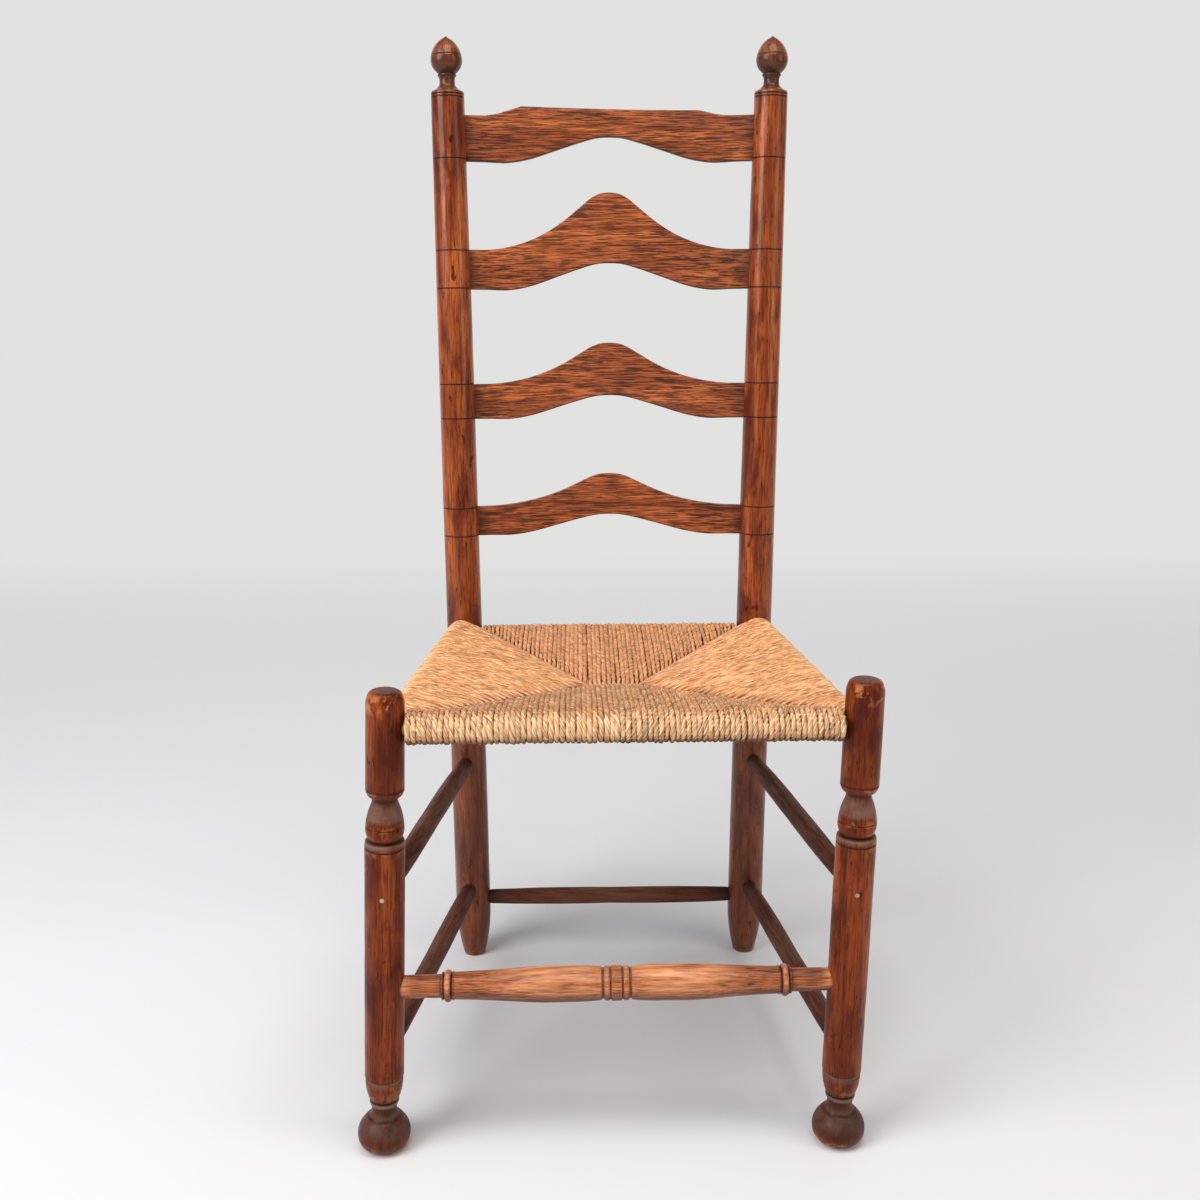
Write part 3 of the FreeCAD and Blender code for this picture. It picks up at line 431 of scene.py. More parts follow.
def varnished_maple(name, colour, coat, rough_low, rough_high, specular):
    """Close-grained turned wood under old varnish: clouded stain, short streaks, specks and wear."""
    n = Nodes(name)
    grain = n.mark("grain", "Vector")
    clouds = n.grained(grain, (1, 0.4), 24, 5, 0.62, 0.6)
    bands = n.grained(grain, (1, 0.10), 60, 4, 0.6, 0.8)
    streaks = n.grained(grain, (1, 0.055), 560, 4, 0.6, 0.3)
    specks = n.grained(grain, (1, 0.22), 430, 3, 0.55)
    nicks = n.grained(grain, (1, 0.4), 150, 2, 0.4, turn=(0.2, 0.15, 0))
    ragged = n.noise(grain, 210, 5, 0.65)
    chips = n.noise(grain, 85, 5, 0.6, 0.4)
    base = n.mix(n.ramp(bands, 0.38, 0.62), scaled(colour, 0.8), tinted(colour, 1.75, 2.15, 1.8))
    for field, low, high, strength, stain in (
            (clouds, 0.49, 0.62, 0.85, tinted(colour, 0.36, 0.22, 0.3)),
            (streaks, 0.48, 0.62, 0.75, tinted(colour, 0.3, 0.2, 0.3)),
            (specks, 0.63, 0.69, 0.85, (0.014, 0.004, 0.002)),
            (nicks, 0.70, 0.735, 0.85, (0.02, 0.006, 0.003))):
        base = n.stain(base, field, low, high, strength, stain)
    wear_and_highlight = n.mark("wear_and_highlight")
    worn_and_highlit = n.math("MULTIPLY", n.ramp(wear_and_highlight, 0, 1), n.ramp(chips, 0.52, 0.58))
    base = n.mix(worn_and_highlit, base, (0.50, 0.165, 0.052))
    dust = n.math("MULTIPLY", n.ramp(wear_and_highlight, 0, -1), n.ramp(chips, 0.30, 0.56, 0.25, 1.0))
    base = n.mix(dust, base, (0.190, 0.132, 0.102))
    # dark grime: dirt in the cut lines and at the feet, and on the posts painted shade below the seat
    # and on the finial
    dirt_and_shade = n.math("MULTIPLY", n.mark("grime_and_shade"), n.ramp(ragged, 0.2, 0.5, 0.8, 1.0))
    base = n.mix(dirt_and_shade, base, (0.030, 0.016, 0.012))
    rough = n.ramp(clouds, 0.3, 0.7, rough_low, rough_high)
    rough = n.math("ADD", rough, n.math("MULTIPLY", dirt_and_shade, 0.1))
    rough = n.math("ADD", rough, n.math("MULTIPLY", dust, 0.3))
    normal = n.bump(n.ramp(nicks, 0.66, 0.74), -0.5, 0.0009)
    normal = n.bump(streaks, 0.2, 0.0004, normal)
    normal = n.bump(n.noise(grain, 75, 4, 0.55), 0.3, 0.0011, normal)
    n.shader.inputs["Specular Tint"].default_value = (1.0, 0.66, 0.46, 1)
    return n.finish(base, rough, normal, coat, 0.14, specular)


def open_grained_wood(name, colour, coat, rough_low, rough_high, pore=0.9, rubbed_and_painted_light=(0.40, 0.20, 0.11)):
    """Ring-porous wood: long dark pores in dashes over paler ribbons, under thin varnish."""
    n = Nodes(name)
    grain = n.mark("grain", "Vector")
    ribbons = n.grained(grain, (1, 0.07), 95, 4, 0.6, 1.0)
    pores = n.grained(grain, (1, 0.05), 760, 2, 0.55)
    fine = n.grained(grain, (1, 0.035), 1300, 2, 0.5)
    clouds = n.grained(grain, (1, 0.35), 26, 4, 0.6)
    ragged = n.grained(grain, (1, 0.10), 240, 4, 0.6)
    base = n.mix(n.ramp(ribbons, 0.36, 0.64), scaled(colour, 0.72), tinted(colour, 1.55, 1.85, 1.75))
    base = n.stain(base, clouds, 0.48, 0.72, 0.55, scaled(colour, 0.45))
    gather = n.ramp(clouds, 0.32, 0.62, 0.72, 1.0)
    open_pores = n.math("MULTIPLY", n.ramp(pores, 0.50, 0.56, 0, pore), gather)
    base = n.mix(open_pores, base, (0.040, 0.010, 0.004))
    base = n.stain(base, fine, 0.52, 0.58, 0.72, (0.055, 0.014, 0.006))
    # pale wear; on the front stretcher it is partly a painted highlight on its swellings
    worn_and_highlit = n.math("MULTIPLY", n.mark("wear_and_highlight"), n.ramp(ragged, 0.34, 0.66, 0.1, 0.95))
    base = n.mix(worn_and_highlit, base, rubbed_and_painted_light)
    # dark grime: dirt near the joints and beads, and painted shade on the undersides of the slats and
    # of the front stretcher
    dirt_and_shade = n.math("MULTIPLY", n.mark("grime_and_shade"), n.ramp(ragged, 0.2, 0.5, 0.75, 1.0))
    base = n.mix(dirt_and_shade, base, (0.022, 0.010, 0.006))
    rough = n.ramp(clouds, 0.3, 0.7, rough_low, rough_high)
    rough = n.math("ADD", rough, n.math("MULTIPLY", open_pores, 0.2))
    normal = n.bump(open_pores, -0.45, 0.0005)
    normal = n.bump(ribbons, 0.2, 0.0006, normal)
    return n.finish(base, rough, normal, coat, 0.2, 0.25)


def twisted_rush(name, colour, dark, pale):
    """Twisted rush leaf: each strand has its own tint, and leaves and fibres wind round it."""
    n = Nodes(name)
    fibre = n.mark("fibre", "Vector")
    rub_and_painted_light = n.mark("rub_and_painted_light")
    leaves = n.grained(fibre, (0.85, 0.06), 1.0, 3, 0.6, 0.3)
    fibres = n.grained(fibre, (2.3, 0.10), 1.0, 3, 0.6, 0.2)
    threads = n.grained(fibre, (4.6, 0.18), 1.0, 2, 0.5, 0.1)
    gaps = n.grained(fibre, (2.2, 0.09), 1.0, 2, 0.5, 0.2)
    patches = n.noise(n.place(), 60, 4, 0.6)
    base = n.mix(n.mark("tint"), scaled(colour, 0.84), scaled(colour, 1.10))
    for field, low, high, strength, stain in (
            (leaves, 0.48, 0.30, 0.7, dark), (leaves, 0.56, 0.72, 0.55, pale),
            (fibres, 0.46, 0.37, 0.85, dark), (fibres, 0.54, 0.63, 0.9, pale),
            (threads, 0.44, 0.36, 0.7, scaled(dark, 0.8)), (threads, 0.57, 0.65, 0.7, pale),
            (gaps, 0.60, 0.66, 0.9, scaled(dark, 0.35)), (patches, 0.52, 0.78, 0.4, dark)):
        base = n.stain(base, field, low, high, strength, stain)
    # painted highlight where the stored mark is above 0, partly rubbing, broken by the fibres
    rubbed_and_painted_light = n.math("MULTIPLY", n.ramp(rub_and_painted_light, 0.0, 1.0), n.ramp(fibres, 0.40, 0.60, 0, 0.8))
    base = n.mix(rubbed_and_painted_light, base, pale)
    # painted shade where the stored mark is below 0
    base = n.stain(base, rub_and_painted_light, -0.1, -1.0, 0.85, scaled(dark, 0.45))
    rough = n.ramp(fibres, 0.3, 0.7, 0.60, 0.42)
    normal = n.bump(gaps, -0.6, 0.0008)
    normal = n.bump(fibres, 0.6, 0.0007, normal)
    normal = n.bump(leaves, 0.5, 0.0012, normal)
    return n.finish(base, rough, normal, 0.0, 0.3, 0.4)


def plain_fill(name, colour, rough_value):
    """A quiet natural surface for pieces inside the seat."""
    n = Nodes(name)
    specks = n.noise(n.place(), 140, 4, 0.6)
    base = n.mix(n.ramp(specks, 0.35, 0.7), scaled(colour, 0.6), scaled(colour, 1.2))
    rough = n.ramp(specks, 0.3, 0.7, rough_value - 0.1, rough_value)
    return n.finish(base, rough, n.bump(specks, 0.3, 0.001))


def dull_steel(name):
    """Nail heads gone dull and spotted."""
    n = Nodes(name)
    spots = n.noise(n.place(), 900, 3, 0.6)
    base = n.mix(n.ramp(spots, 0.4, 0.6), (0.33, 0.28, 0.22), (0.62, 0.58, 0.52))
    n.shader.inputs["Metallic"].default_value = 0.9
    return n.finish(base, n.ramp(spots, 0.3, 0.7, 0.3, 0.5), n.bump(spots, 0.2, 0.0003))


MATERIALS = {}


def material(name):
    """The named finish, made once."""
    if name in MATERIALS:
        return MATERIALS[name]
    own = finish_settings()
    looks = {
        "leg_varnish": (varnished_maple, tuple(own.legs), 0.10, 0.26, 0.42, 0.16),
        "post_varnish": (varnished_maple, tuple(own.posts), 0.34, 0.24, 0.40, 0.30),
        # the front stretcher's pale worn colour is partly a painted highlight
        "worn_bar": (open_grained_wood, tuple(own.front_bar), 0.2, 0.3, 0.45, 0.5, (1.0, 0.44, 0.20)),
        "plain_bar": (open_grained_wood, tuple(own.bars), 0.0, 0.5, 0.7, 0.8),
        "slat_oak": (open_grained_wood, tuple(own.slats), 0.2, 0.3, 0.45),
        "rush_side": (twisted_rush, scaled(own.rush, 0.95), (0.34, 0.112, 0.036), (1.0, 0.72, 0.38)),
        "rush_front": (twisted_rush, scaled(own.rush, 0.77), (0.30, 0.118, 0.054), (1.0, 0.74, 0.42)),
        "rush_back": (twisted_rush, scaled(own.rush, 0.96), (0.34, 0.14, 0.068), (1.0, 0.66, 0.36)),
        "bare_wood": (plain_fill, (0.42, 0.25, 0.13), 0.7),
        "stuffing": (plain_fill, (0.20, 0.12, 0.06), 0.9),
        "nail_steel": (dull_steel,),
    }
    make, *values = looks[name]
    MATERIALS[name] = make(name, *values)
    return MATERIALS[name]


# Turned pieces

def leg_profile(height):
    r = LEG_RADIUS
    return [
        # ball foot, its neck and the cone above it
        (15.0, 0.0), (16.0, 0.3, -2.6), (25.9, 13.5, -1.9), (20.2, 29.8, -0.5), (15.8, 33.9),
        (15.0, 34.7, 0.4), (12.3, 41.5), (12.5, 46.8), (13.6, 48.2, -0.4), (14.5, 53.1),
        (13.4, 53.8), (13.6, 54.6), (14.9, 55.2, -0.9), (r - 0.6, 74.6), (r - 1.4, 75.1),
        # groove and step, then the long shaft with a cut line near its end
        (r - 1.2, 78.1), (r - 1.4, 79.0), (r + 0.1, 79.6), *score(r, 320.5),
        # rounded end of the shaft, bulb with a cut line, and its neck
        (r - 0.3, 325.7, -0.4), (r - 1.8, 327.3), (14.6, 327.7, -1.4), (18.2, 341.2),
        (18.3 - CUT, 342.0), (18.2, 342.8, -0.7), (13.5, 362.2, 0.3), (11.9, 368.2),
        # collar, top part with a cut line, and worn dome
        (12.7, 370.6, -1.0), (17.2, 375.1, -0.3), (18.0, 378.1), (18.1 - CUT, 378.7),
        (18.1, 379.3), (17.8, height - 14.0, -0.5), (16.4, height - 5.0, -1.1), (11.6, height),
    ]


def leg_grime(height, radius):
    """Dirt in the grooves, round the foot and on the middle of the top."""
    level = near(height, [
        (34.3, 1.2, 1.0), (44.0, 5.0, 0.9), (54.2, 1.8, 1.0), (79.2, 1.0, 1.0),
        (320.5, 0.8, 1.0), (328.6, 1.8, 1.0), (342.0, 0.8, 1.0), (369.5, 3.0, 1.0), (378.7, 0.8, 1.0)])
    if height < 42:
        level = max(level, 0.55 - 0.5 * max(0.0, 1 - height / 15.0))
    if height > 400 and radius < 12.5:
        level = max(level, 0.55)
    return level


def leg_wear(top):
    """Wear on the rims, less than 0 where dust has settled in instead."""
    def wear_and_highlight(height, _radius):
        rubbed_and_painted_light = near(height, [
            (6.0, 6.0, 0.9), (60.0, 9.0, 0.35), (319.0, 2.0, 0.5), (344.0, 5.0, 0.5),
            (376.5, 2.0, 0.7), (top - 10.0, 10.0, 1.0)])
        dusty = near(height, [
            (28.0, 9.0, 0.6), (37.0, 3.0, 0.8), (50.5, 3.6, 1.0), (76.6, 2.4, 1.0),
            (325.5, 2.4, 1.0), (357.0, 12.0, 0.75)])
        return rubbed_and_painted_light - dusty
    return wear_and_highlight


def post_profile():
    def radius_at(height):
        if height > 800:
            return 20.0 - 1.5 * (height - 800) / 239.5
        return 21.0 - (height - 450) / 350
    profile = [(12.4, 0.0), (13.4, 1.0, -2.4), (21.5, 70.0), (21.5, 200.0), (21.0, 450.0)]
    for height in RING_HEIGHTS:
        profile += score(radius_at(height), height)
    # the acorn finial: neck, ring, cup and pointed nut
    return profile + [
        (18.5, 1038.6, -0.4), (16.8, 1040.7, 1.1), (8.7, 1047.8), (8.5, 1051.4, 0.2),
        (9.4, 1056.0, -0.1), (10.3, 1056.9, -0.3), (10.1, 1058.7), (9.6, 1059.4, -3.2),
        (17.2, 1077.7), (17.2 - CUT, 1078.5), (16.9, 1079.3, -2.6), (1.9, 1097.4, -0.3),
        (0.8, 1098.2),
    ]


def post_grime_and_shade(height, _radius):
    """Dirt in the cut lines and round the foot, painted shade on the post below the seat, and on the
    finial a darkening that is partly dirt and partly painted shade.
    """
    marks = [(ring, 0.9, 1.0) for ring in RING_HEIGHTS]
    # finial marks: dirt in its cuts, and partly painted shade under its ring and cup
    marks += [(1046.0, 7.0, 0.75), (1056.4, 1.2, 0.9), (1059.6, 3.0, 1.0), (1064.0, 7.0, 0.6),
              (1078.5, 0.7, 1.0), (1096.5, 7.0, 0.75)]
    level = near(height, marks)
    if height < 45:
        level = max(level, 0.5 - height * 0.008)
    # painted shade: the post is darker below the seat, where the seat shades it
    if height < 430:
        level = max(level, 0.5 * min(1.0, (430 - height) / 40.0))
    # the finial is darker, most at the underside of its cup and less towards its tip: partly dirt,
    # partly painted shade
    if height > 1040:
        level = max(level, 0.3, 0.92 - abs(height - 1060) * 0.021)
    return level


def post_wear(height, _radius):
    return near(height, [(1039.4, 1.6, 0.5), (1058.0, 1.5, 0.4), (1083.0, 7.0, 0.5), (3.0, 6.0, 0.5)])


def front_bar_profile(length):
    """The front stretcher, drawn from its middle outward and mirrored."""
    middle = length / 2
    half = [
        (16.6, 4.6), (15.2, 5.4), (15.2, 6.4), (15.8, 6.8, -0.6), (15.8, 11.6), (14.4, 12.4),
        (14.4, 13.8), (15.8, 15.0, -0.5), (17.1, 48.0, -0.8), (15.6, 100.0, 0.4), (12.9, 155.9),
        (13.5, 156.3), (13.5, 158.1), (12.3, 158.9), (14.2, 159.7, -1.1), (14.2, 165.3),
        (12.1, 166.1), (13.1, 166.9), (13.1, 168.3), (11.1, 169.1),
        (10.9, middle - TENON_PAST_AXIS - LEG_RADIUS + 1.5),
        (FRONT_TENON, middle - TENON_PAST_AXIS - LEG_RADIUS + 5.0), (FRONT_TENON, middle),
    ]
    upper = [(radius, middle + away, *bend) for radius, away, *bend in half]
    # on the mirrored half, each bend belongs to the corner on its other end
    bends = [()] + [corner[2:] for corner in half[:-1]]
    lower = [(corner[0], middle - corner[1], *bend) for corner, bend in zip(half, bends)]
    return lower[::-1] + upper


def marks_from(origin, places):
    """A mark that goes by the distance from one height only."""
    return lambda height, _radius: near(abs(height - origin), places)


def front_bar_marks(length):
    """The front stretcher's grime and wear, the same on both sides of its middle; the broad wear over
    each swelling is partly a painted highlight.
    """
    middle = length / 2
    grime_and_shade = [(5.9, 1.0, 0.95), (13.1, 1.3, 0.95), (158.6, 1.5, 0.95),
             (166.4, 1.2, 0.95), (169.3, 1.2, 0.8), (middle - 27.5, 1.6, 0.5)]
    # broad pale wear over each swelling, partly a painted highlight
    wear_and_highlight = [(62.0, 66.0, 1.0), (9.0, 3.0, 0.6), (162.5, 3.0, 0.7),
            (middle - TENON_PAST_AXIS - LEG_RADIUS, 2.2, 0.9)]
    return marks_from(middle, grime_and_shade), marks_from(middle, wear_and_highlight)


def wear_highlight_and_shade(obj):
    """A lying piece is paler where it faces up, partly worn by feet and partly a painted highlight, and
    darker below with painted shade.
    """
    wear_and_highlight, grime_and_shade = obj.data.attributes["wear_and_highlight"].data, obj.data.attributes["grime_and_shade"].data
    for i, vertex in enumerate(obj.data.vertices):
        up = vertex.normal.z
        # paler on top: foot wear and a painted highlight from above
        wear_and_highlight[i].value *= max(0.0, min(1.0, 0.45 + 0.8 * up))
        # painted shade on the faces that look down
        grime_and_shade[i].value = max(grime_and_shade[i].value, min(0.6, -0.9 * up))


class CHAIR_OT_front_legs(bpy.types.Operator):
    """Turns the two front legs, with bulb, cut lines and ball foot"""
    bl_idname = "chair.front_legs"
    bl_label = "Front Legs"

    def execute(self, context):
        for side, word in SIDES:
            height = LEG_HEIGHT[side]
            leg = turn_on_lathe(
                "leg_" + word, leg_profile(height), leg_grime, leg_wear(height), 3 + side)
            lay(leg, leg_axis(side, 0), leg_axis(side, height), 0.6)
            settle(leg)
            dress(leg, "leg_varnish", "turned_maple", "front_leg_" + word)
        return {"FINISHED"}


class CHAIR_OT_rear_posts(bpy.types.Operator):
    """Turns the two rear posts, with their cut lines and acorn finials"""
    bl_idname = "chair.rear_posts"
    bl_label = "Rear Posts"

    def execute(self, context):
        for side, word in SIDES:
            post = turn_on_lathe("post_" + word, post_profile(), post_grime_and_shade, post_wear, 8 + side)
            lay(post, post_axis(side, 0), post_axis(side, POST_HEIGHT), 0.3)
            settle(post)
            dress(post, "post_varnish", "turned_maple", "rear_post_" + word)
        return {"FINISHED"}


def settle(obj):
    """The foot of a leaning leg is dressed flat on the floor."""
    for vertex in obj.data.vertices:
        vertex.co.z = max(0.0, vertex.co.z)


def member_line(start, finish):
    """The ends of a member whose tenons pass the two axes that it joins."""
    along = (finish - start).normalized()
    return start - along * TENON_PAST_AXIS, finish + along * TENON_PAST_AXIS


class CHAIR_OT_front_stretcher(bpy.types.Operator):
    """Turns the front stretcher with its swellings, beads and drum"""
    bl_idname = "chair.front_stretcher"
    bl_label = "Front Stretcher"

    def execute(self, context):
        head, tail = member_line(leg_axis(-1, 173.6), leg_axis(1, 176.8))
        length = (tail - head).length
        grime_and_shade, wear_and_highlight = front_bar_marks(length)
        bar = turn_on_lathe("stretcher_front", front_bar_profile(length), grime_and_shade, wear_and_highlight, 21)
        lay(bar, head, tail)
        wear_highlight_and_shade(bar)
        dress(bar, "worn_bar", "stretcher_wood", "front_stretcher")
        return {"FINISHED"}


def plain_bar(name, node, start, finish, radius, start_hold, finish_hold, seed):
    """A shaved round stretcher, a little flat-sided, fullest at its middle."""
    head, tail = member_line(start, finish)
    length = (tail - head).length
    near_end = TENON_PAST_AXIS + start_hold
    far_end = TENON_PAST_AXIS + finish_hold
    corners = [
        (PLAIN_TENON, 0.0), (PLAIN_TENON, near_end * 0.8),
        (PLAIN_TENON + 1.3, near_end * 1.15, -0.9), (radius, length * 0.5, -0.9),
        (PLAIN_TENON + 1.3, length - far_end * 1.15),
        (PLAIN_TENON, length - far_end * 0.8), (PLAIN_TENON, length),
    ]
    grime_and_shade = marks_from(0, [(near_end, 14.0, 0.7), (length - far_end, 14.0, 0.7)])
    wear_and_highlight = marks_from(length * 0.5, [(0, length * 0.3, 0.25)])
    bar = turn_on_lathe(name, corners, grime_and_shade, wear_and_highlight, seed, 0.5)
    for vertex in bar.data.vertices:
        shaved = 1.0 - 0.05 * abs(math.sin(2.5 * math.atan2(vertex.co.y, vertex.co.x) + seed))
        vertex.co.x *= shaved
        vertex.co.y *= shaved
    lay(bar, head, tail, seed * 0.7)
    dress(bar, "plain_bar", "stretcher_wood", node)


class CHAIR_OT_plain_stretchers(bpy.types.Operator):
    """Shapes the rear stretcher and the four side stretchers"""
    bl_idname = "chair.plain_stretchers"
    bl_label = "Plain Stretchers"

    def execute(self, context):
        plain_bar("stretcher_rear", "rear_stretcher",
                  post_axis(-1, 75.0), post_axis(1, 75.0), 10.2, POST_RADIUS, POST_RADIUS, 31)
        levels = (("upper", 273.7, 258.2), ("lower", 100.2, 93.1))
        for side, word in SIDES:
            for row, (level, front_z, rear_z) in enumerate(levels):
                plain_bar("stretcher_%s_%s" % (level, word), "side_stretcher_%s_%s" % (level, word),
                          leg_axis(side, front_z), post_axis(side, rear_z),
                          10.8, LEG_RADIUS, POST_RADIUS, 34 + row + side * 2)
        return {"FINISHED"}


# Slats

class CHAIR_OT_slats(bpy.types.Operator):
    """Softens the edges of the four bowed slats and stores their grain"""
    bl_idname = "chair.slats"
    bl_label = "Slats"

    def execute(self, context):
        for number in (1, 2, 3, 4):
            slat_piece(number)
        return {"FINISHED"}


def slat_piece(number):
    """One slat of the construction with softened edges, its grain, grime near the posts and painted
    shade on its underside.
    """
    select_only(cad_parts["slat_%d" % number])
    bpy.ops.object.duplicate()
    slat = bpy.context.object
    slat.parent = None
    slat.name = "slat_board_%d" % number
    edit_all()
    bpy.ops.mesh.remove_doubles(threshold=1e-5)
    bpy.ops.mesh.dissolve_limited(angle_limit=math.radians(0.4))
    edit_done()
    bevel = slat.modifiers.new("softened", "BEVEL")
    bevel.width = 1.3 * MM
    bevel.segments = 3
    bevel.limit_method = "ANGLE"
    bevel.angle_limit = math.radians(35)
    select_only(slat)
    bpy.ops.object.modifier_apply(modifier=bevel.name)
    low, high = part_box("slat_%d" % number)
    middle = (Vector(low) + Vector(high)) * 0.5
    grain, grime_and_shade, _wear = surface_marks(slat.data)
    half = (high[0] - low[0]) * 0.5
    bow = high[1] - low[1] - SLAT_THICK * MM
    for i, vertex in enumerate(slat.data.vertices):
        local = vertex.co - middle
        # the grain follows the bow, as the slat was bent after it was cut
        depth = local.y - bow * (1 - (local.x / half) ** 2)
        grain[i].vector = (local.z, depth, local.x + number * 1.91)
        from_post = (half - 17 * MM - abs(local.x)) / (14 * MM)
        # painted shade on the faces that look down
        under = 0.9 if vertex.normal.z < -0.4 else 0.0
        grime_and_shade[i].value = max(under, min(0.75, 0.75 - from_post))
    smooth_below(30)
    dress(slat, "slat_oak", "slat_oak", "slat_%d" % number)


# Woven seat

def seat_corners():
    """Corners of the seat's top surface, in millimetres, as in the construction."""
    corners = {
        "seam_left": Vector((SEAM_X - SEAM_HALF, SEAM_Y, SEAM_Z)),
        "seam_right": Vector((SEAM_X + SEAM_HALF, SEAM_Y, SEAM_Z)),
    }
    for side, word in SIDES:
        leg, post = leg_axis(side, 440), post_axis(side, 430)
        corners["corner_" + word] = Vector((leg.x - side * 6, leg.y + 20, 441.2))
        corners["back_" + word] = Vector((post.x - side * 22, post.y + 2, 428.2))
    return corners


def strand_outline(span, seam_z, rail_z, high, wide, bottom, lift, dive, rng):
    """One turn of rush seen along its rail, and how many of its points lie before the turn.

    The points are (distance, height): distances run from the rail towards the seam, and heights
    are real. high and wide are the half height and half width of the turn, and dive is the length
    in which the strand goes down into the seam.
    """
    top, low = seam_z - strand_radius(), bottom + strand_radius()
    tangent = math.atan2((top - (rail_z + high)) / max(span, 1.0) * wide, high)
    points = [(span - 0.4, top - END_DIP), (span - dive * 0.28, top - END_DIP * 0.62),
              (span - dive * 0.58, top - END_DIP * 0.24)]
    count = max(2, int((span - dive) / STRAND_STEP))
    start = Vector((span - dive, top))
    finish = Vector((-wide * math.sin(tangent), rail_z + high * math.cos(tangent)))
    for k in range(count):
        point = start.lerp(finish, k / count)
        crown = lift * math.sin(math.pi * (k / count)) ** 0.8
        points.append((point.x, point.y + crown + rng.uniform(-0.12, 0.12)))
    over = len(points)
    for k in range(ROLL_STEPS + 1):
        angle = (math.pi / 2 + tangent) + (math.pi - tangent) * k / ROLL_STEPS
        points.append((wide * math.cos(angle), rail_z + high * math.sin(angle)))
    start = Vector((0.0, rail_z - high))
    finish = Vector((span - 4.0, low))
    for k in range(1, count + 1):
        point = start.lerp(finish, k / count)
        points.append((point.x, point.y - lift * 0.6 * math.sin(math.pi * (k / count))))
    points += [(span - 1.6, low + END_DIP * 0.3), (span - 0.4, low + END_DIP * 0.8)]
    return points, over


def strand_path(seam, rail, inward, high, wide, bottom, lift, rng, swing=0.0):
    """One turn of rush round a rail: out of the seam, over the rail and back to the seam below.

    It lies in the upright plane along inward, the way from the rail to the seam. swing is how far
    the strand's upper end is drawn aside, where it passes under the next panel. Each point comes
    with how pale it is, partly rubbing and partly a painted highlight, or below 0 how deep in
    painted shade.
    """
    span = (seam - rail).dot(inward)
    proud = rng.uniform(-0.45, 0.35)
    high, wide = high + proud, wide + proud
    aside = Vector((inward.y, -inward.x, 0))
    drift = rng.uniform(0, 100)
    dive = min(DRAWN_DIVE if swing else DIVE, span * 0.35)
    points, over = strand_outline(span, seam.z, rail.z, high, wide, bottom, lift, dive, rng)
    places, rubbed_and_painted_light = [], []
    for i, (distance, height) in enumerate(points):
        sway = 0.9 * noise.noise(Vector((distance * 0.035, height * 0.05, drift)))
        if swing and height > rail.z - high * 0.5:
            sway += swing * max(0.0, 1 - (span - distance) / min(DRAWN_REACH, span)) ** 1.6
        places.append(rail + inward * distance + aside * sway + Vector((0, 0, height - rail.z)))
        if i < over:
            # painted shade where a drawn strand goes under the next panel
            rubbed_and_painted_light.append(-1.0 if swing and span - distance < SHADED_REACH else 0.0)
        else:
            # on the roll: a painted highlight on its outer face, partly rubbing, and painted shade
            # under it
            outward = max(0.0, -distance / wide) * 1.5
            below = min(0.0, (height - rail.z) / high) * 3.6
            rubbed_and_painted_light.append(max(-1.0, min(1.0, outward + below)))
    return places, rubbed_and_painted_light


def strand_section():
    """The lobed cross-section of a twisted strand, drawn as a closed curve."""
    data = bpy.data.curves.new("strand_section", "CURVE")
    data.dimensions = "2D"
    spline = data.splines.new("POLY")
    spline.points.add(SECTION_SIDES - 1)
    radius = size_settings().strand_radius
    for i in range(SECTION_SIDES):
        angle = math.tau * i / SECTION_SIDES
        reach = radius * (1.0 + 0.13 * math.cos(2 * angle) + 0.07 * math.cos(3 * angle))
        spline.points[i].co = (reach * math.cos(angle), reach * math.sin(angle), 0, 1)
    spline.use_cyclic_u = True
    return linked("strand_section", data)


def wind(name, paths, section, rng, look, twist_of, taper):
    """All strands of one panel as twisted tubes in one mesh; each path is (points, marks), each mark
    the point's rubbing and painted highlight, or below 0 its painted shade.

    twist_of gives a strand's length of twist from its first point, and taper is how much thinner
    a strand is where it goes into its seam.
    """
    data = bpy.data.curves.new(name, "CURVE")
    data.dimensions = "3D"
    data.twist_mode = "MINIMUM"
    data.use_fill_caps = True
    data.bevel_mode = "OBJECT"
    data.bevel_object = section
    turn, radius = size_settings().strand_turn / MM, strand_radius()
    marks = []
    start = 0.0
    for path, rubbed_and_painted_light in paths:
        spline = data.splines.new("POLY")
        spline.points.add(len(path) - 1)
        length = sum((after - place).length for place, after in zip(path, path[1:]))
        start += turn / 2 + rng.uniform(0, 400)
        own_turn = turn * rng.uniform(0.85, 1.2) * twist_of(path[0])
        phase = (start / own_turn) % 1.0
        weight = rng.uniform(0.92, 1.08)
        tint = rng.random()
        travelled = 0.0
        before = path[0]
        for point, place, rub_and_painted_light in zip(spline.points, path, rubbed_and_painted_light):
            travelled += (place - before).length
            before = place
            point.co = (*(place * MM), 1)
            point.tilt = math.tau * (phase + travelled / own_turn)
            from_seam = min(travelled, length - travelled) - TAPER_FROM
            thinned = taper * max(0.0, min(1.0, 1 - from_seam / TAPER_REACH))
            point.radius = weight * (1 + 0.10 * noise.noise(place * 0.11)) * (1 - thinned)
            marks.append(((start + travelled) / radius, tint, rub_and_painted_light))
    select_only(linked(name, data))
    bpy.ops.object.convert(target="MESH")
    panel = bpy.context.object
    mark_strands(panel.data, marks)
    edit_all()
    bpy.ops.mesh.normals_make_consistent(inside=False)
    edit_done()
    smooth_below(60)
    dress(panel, look, "rush")
    return panel


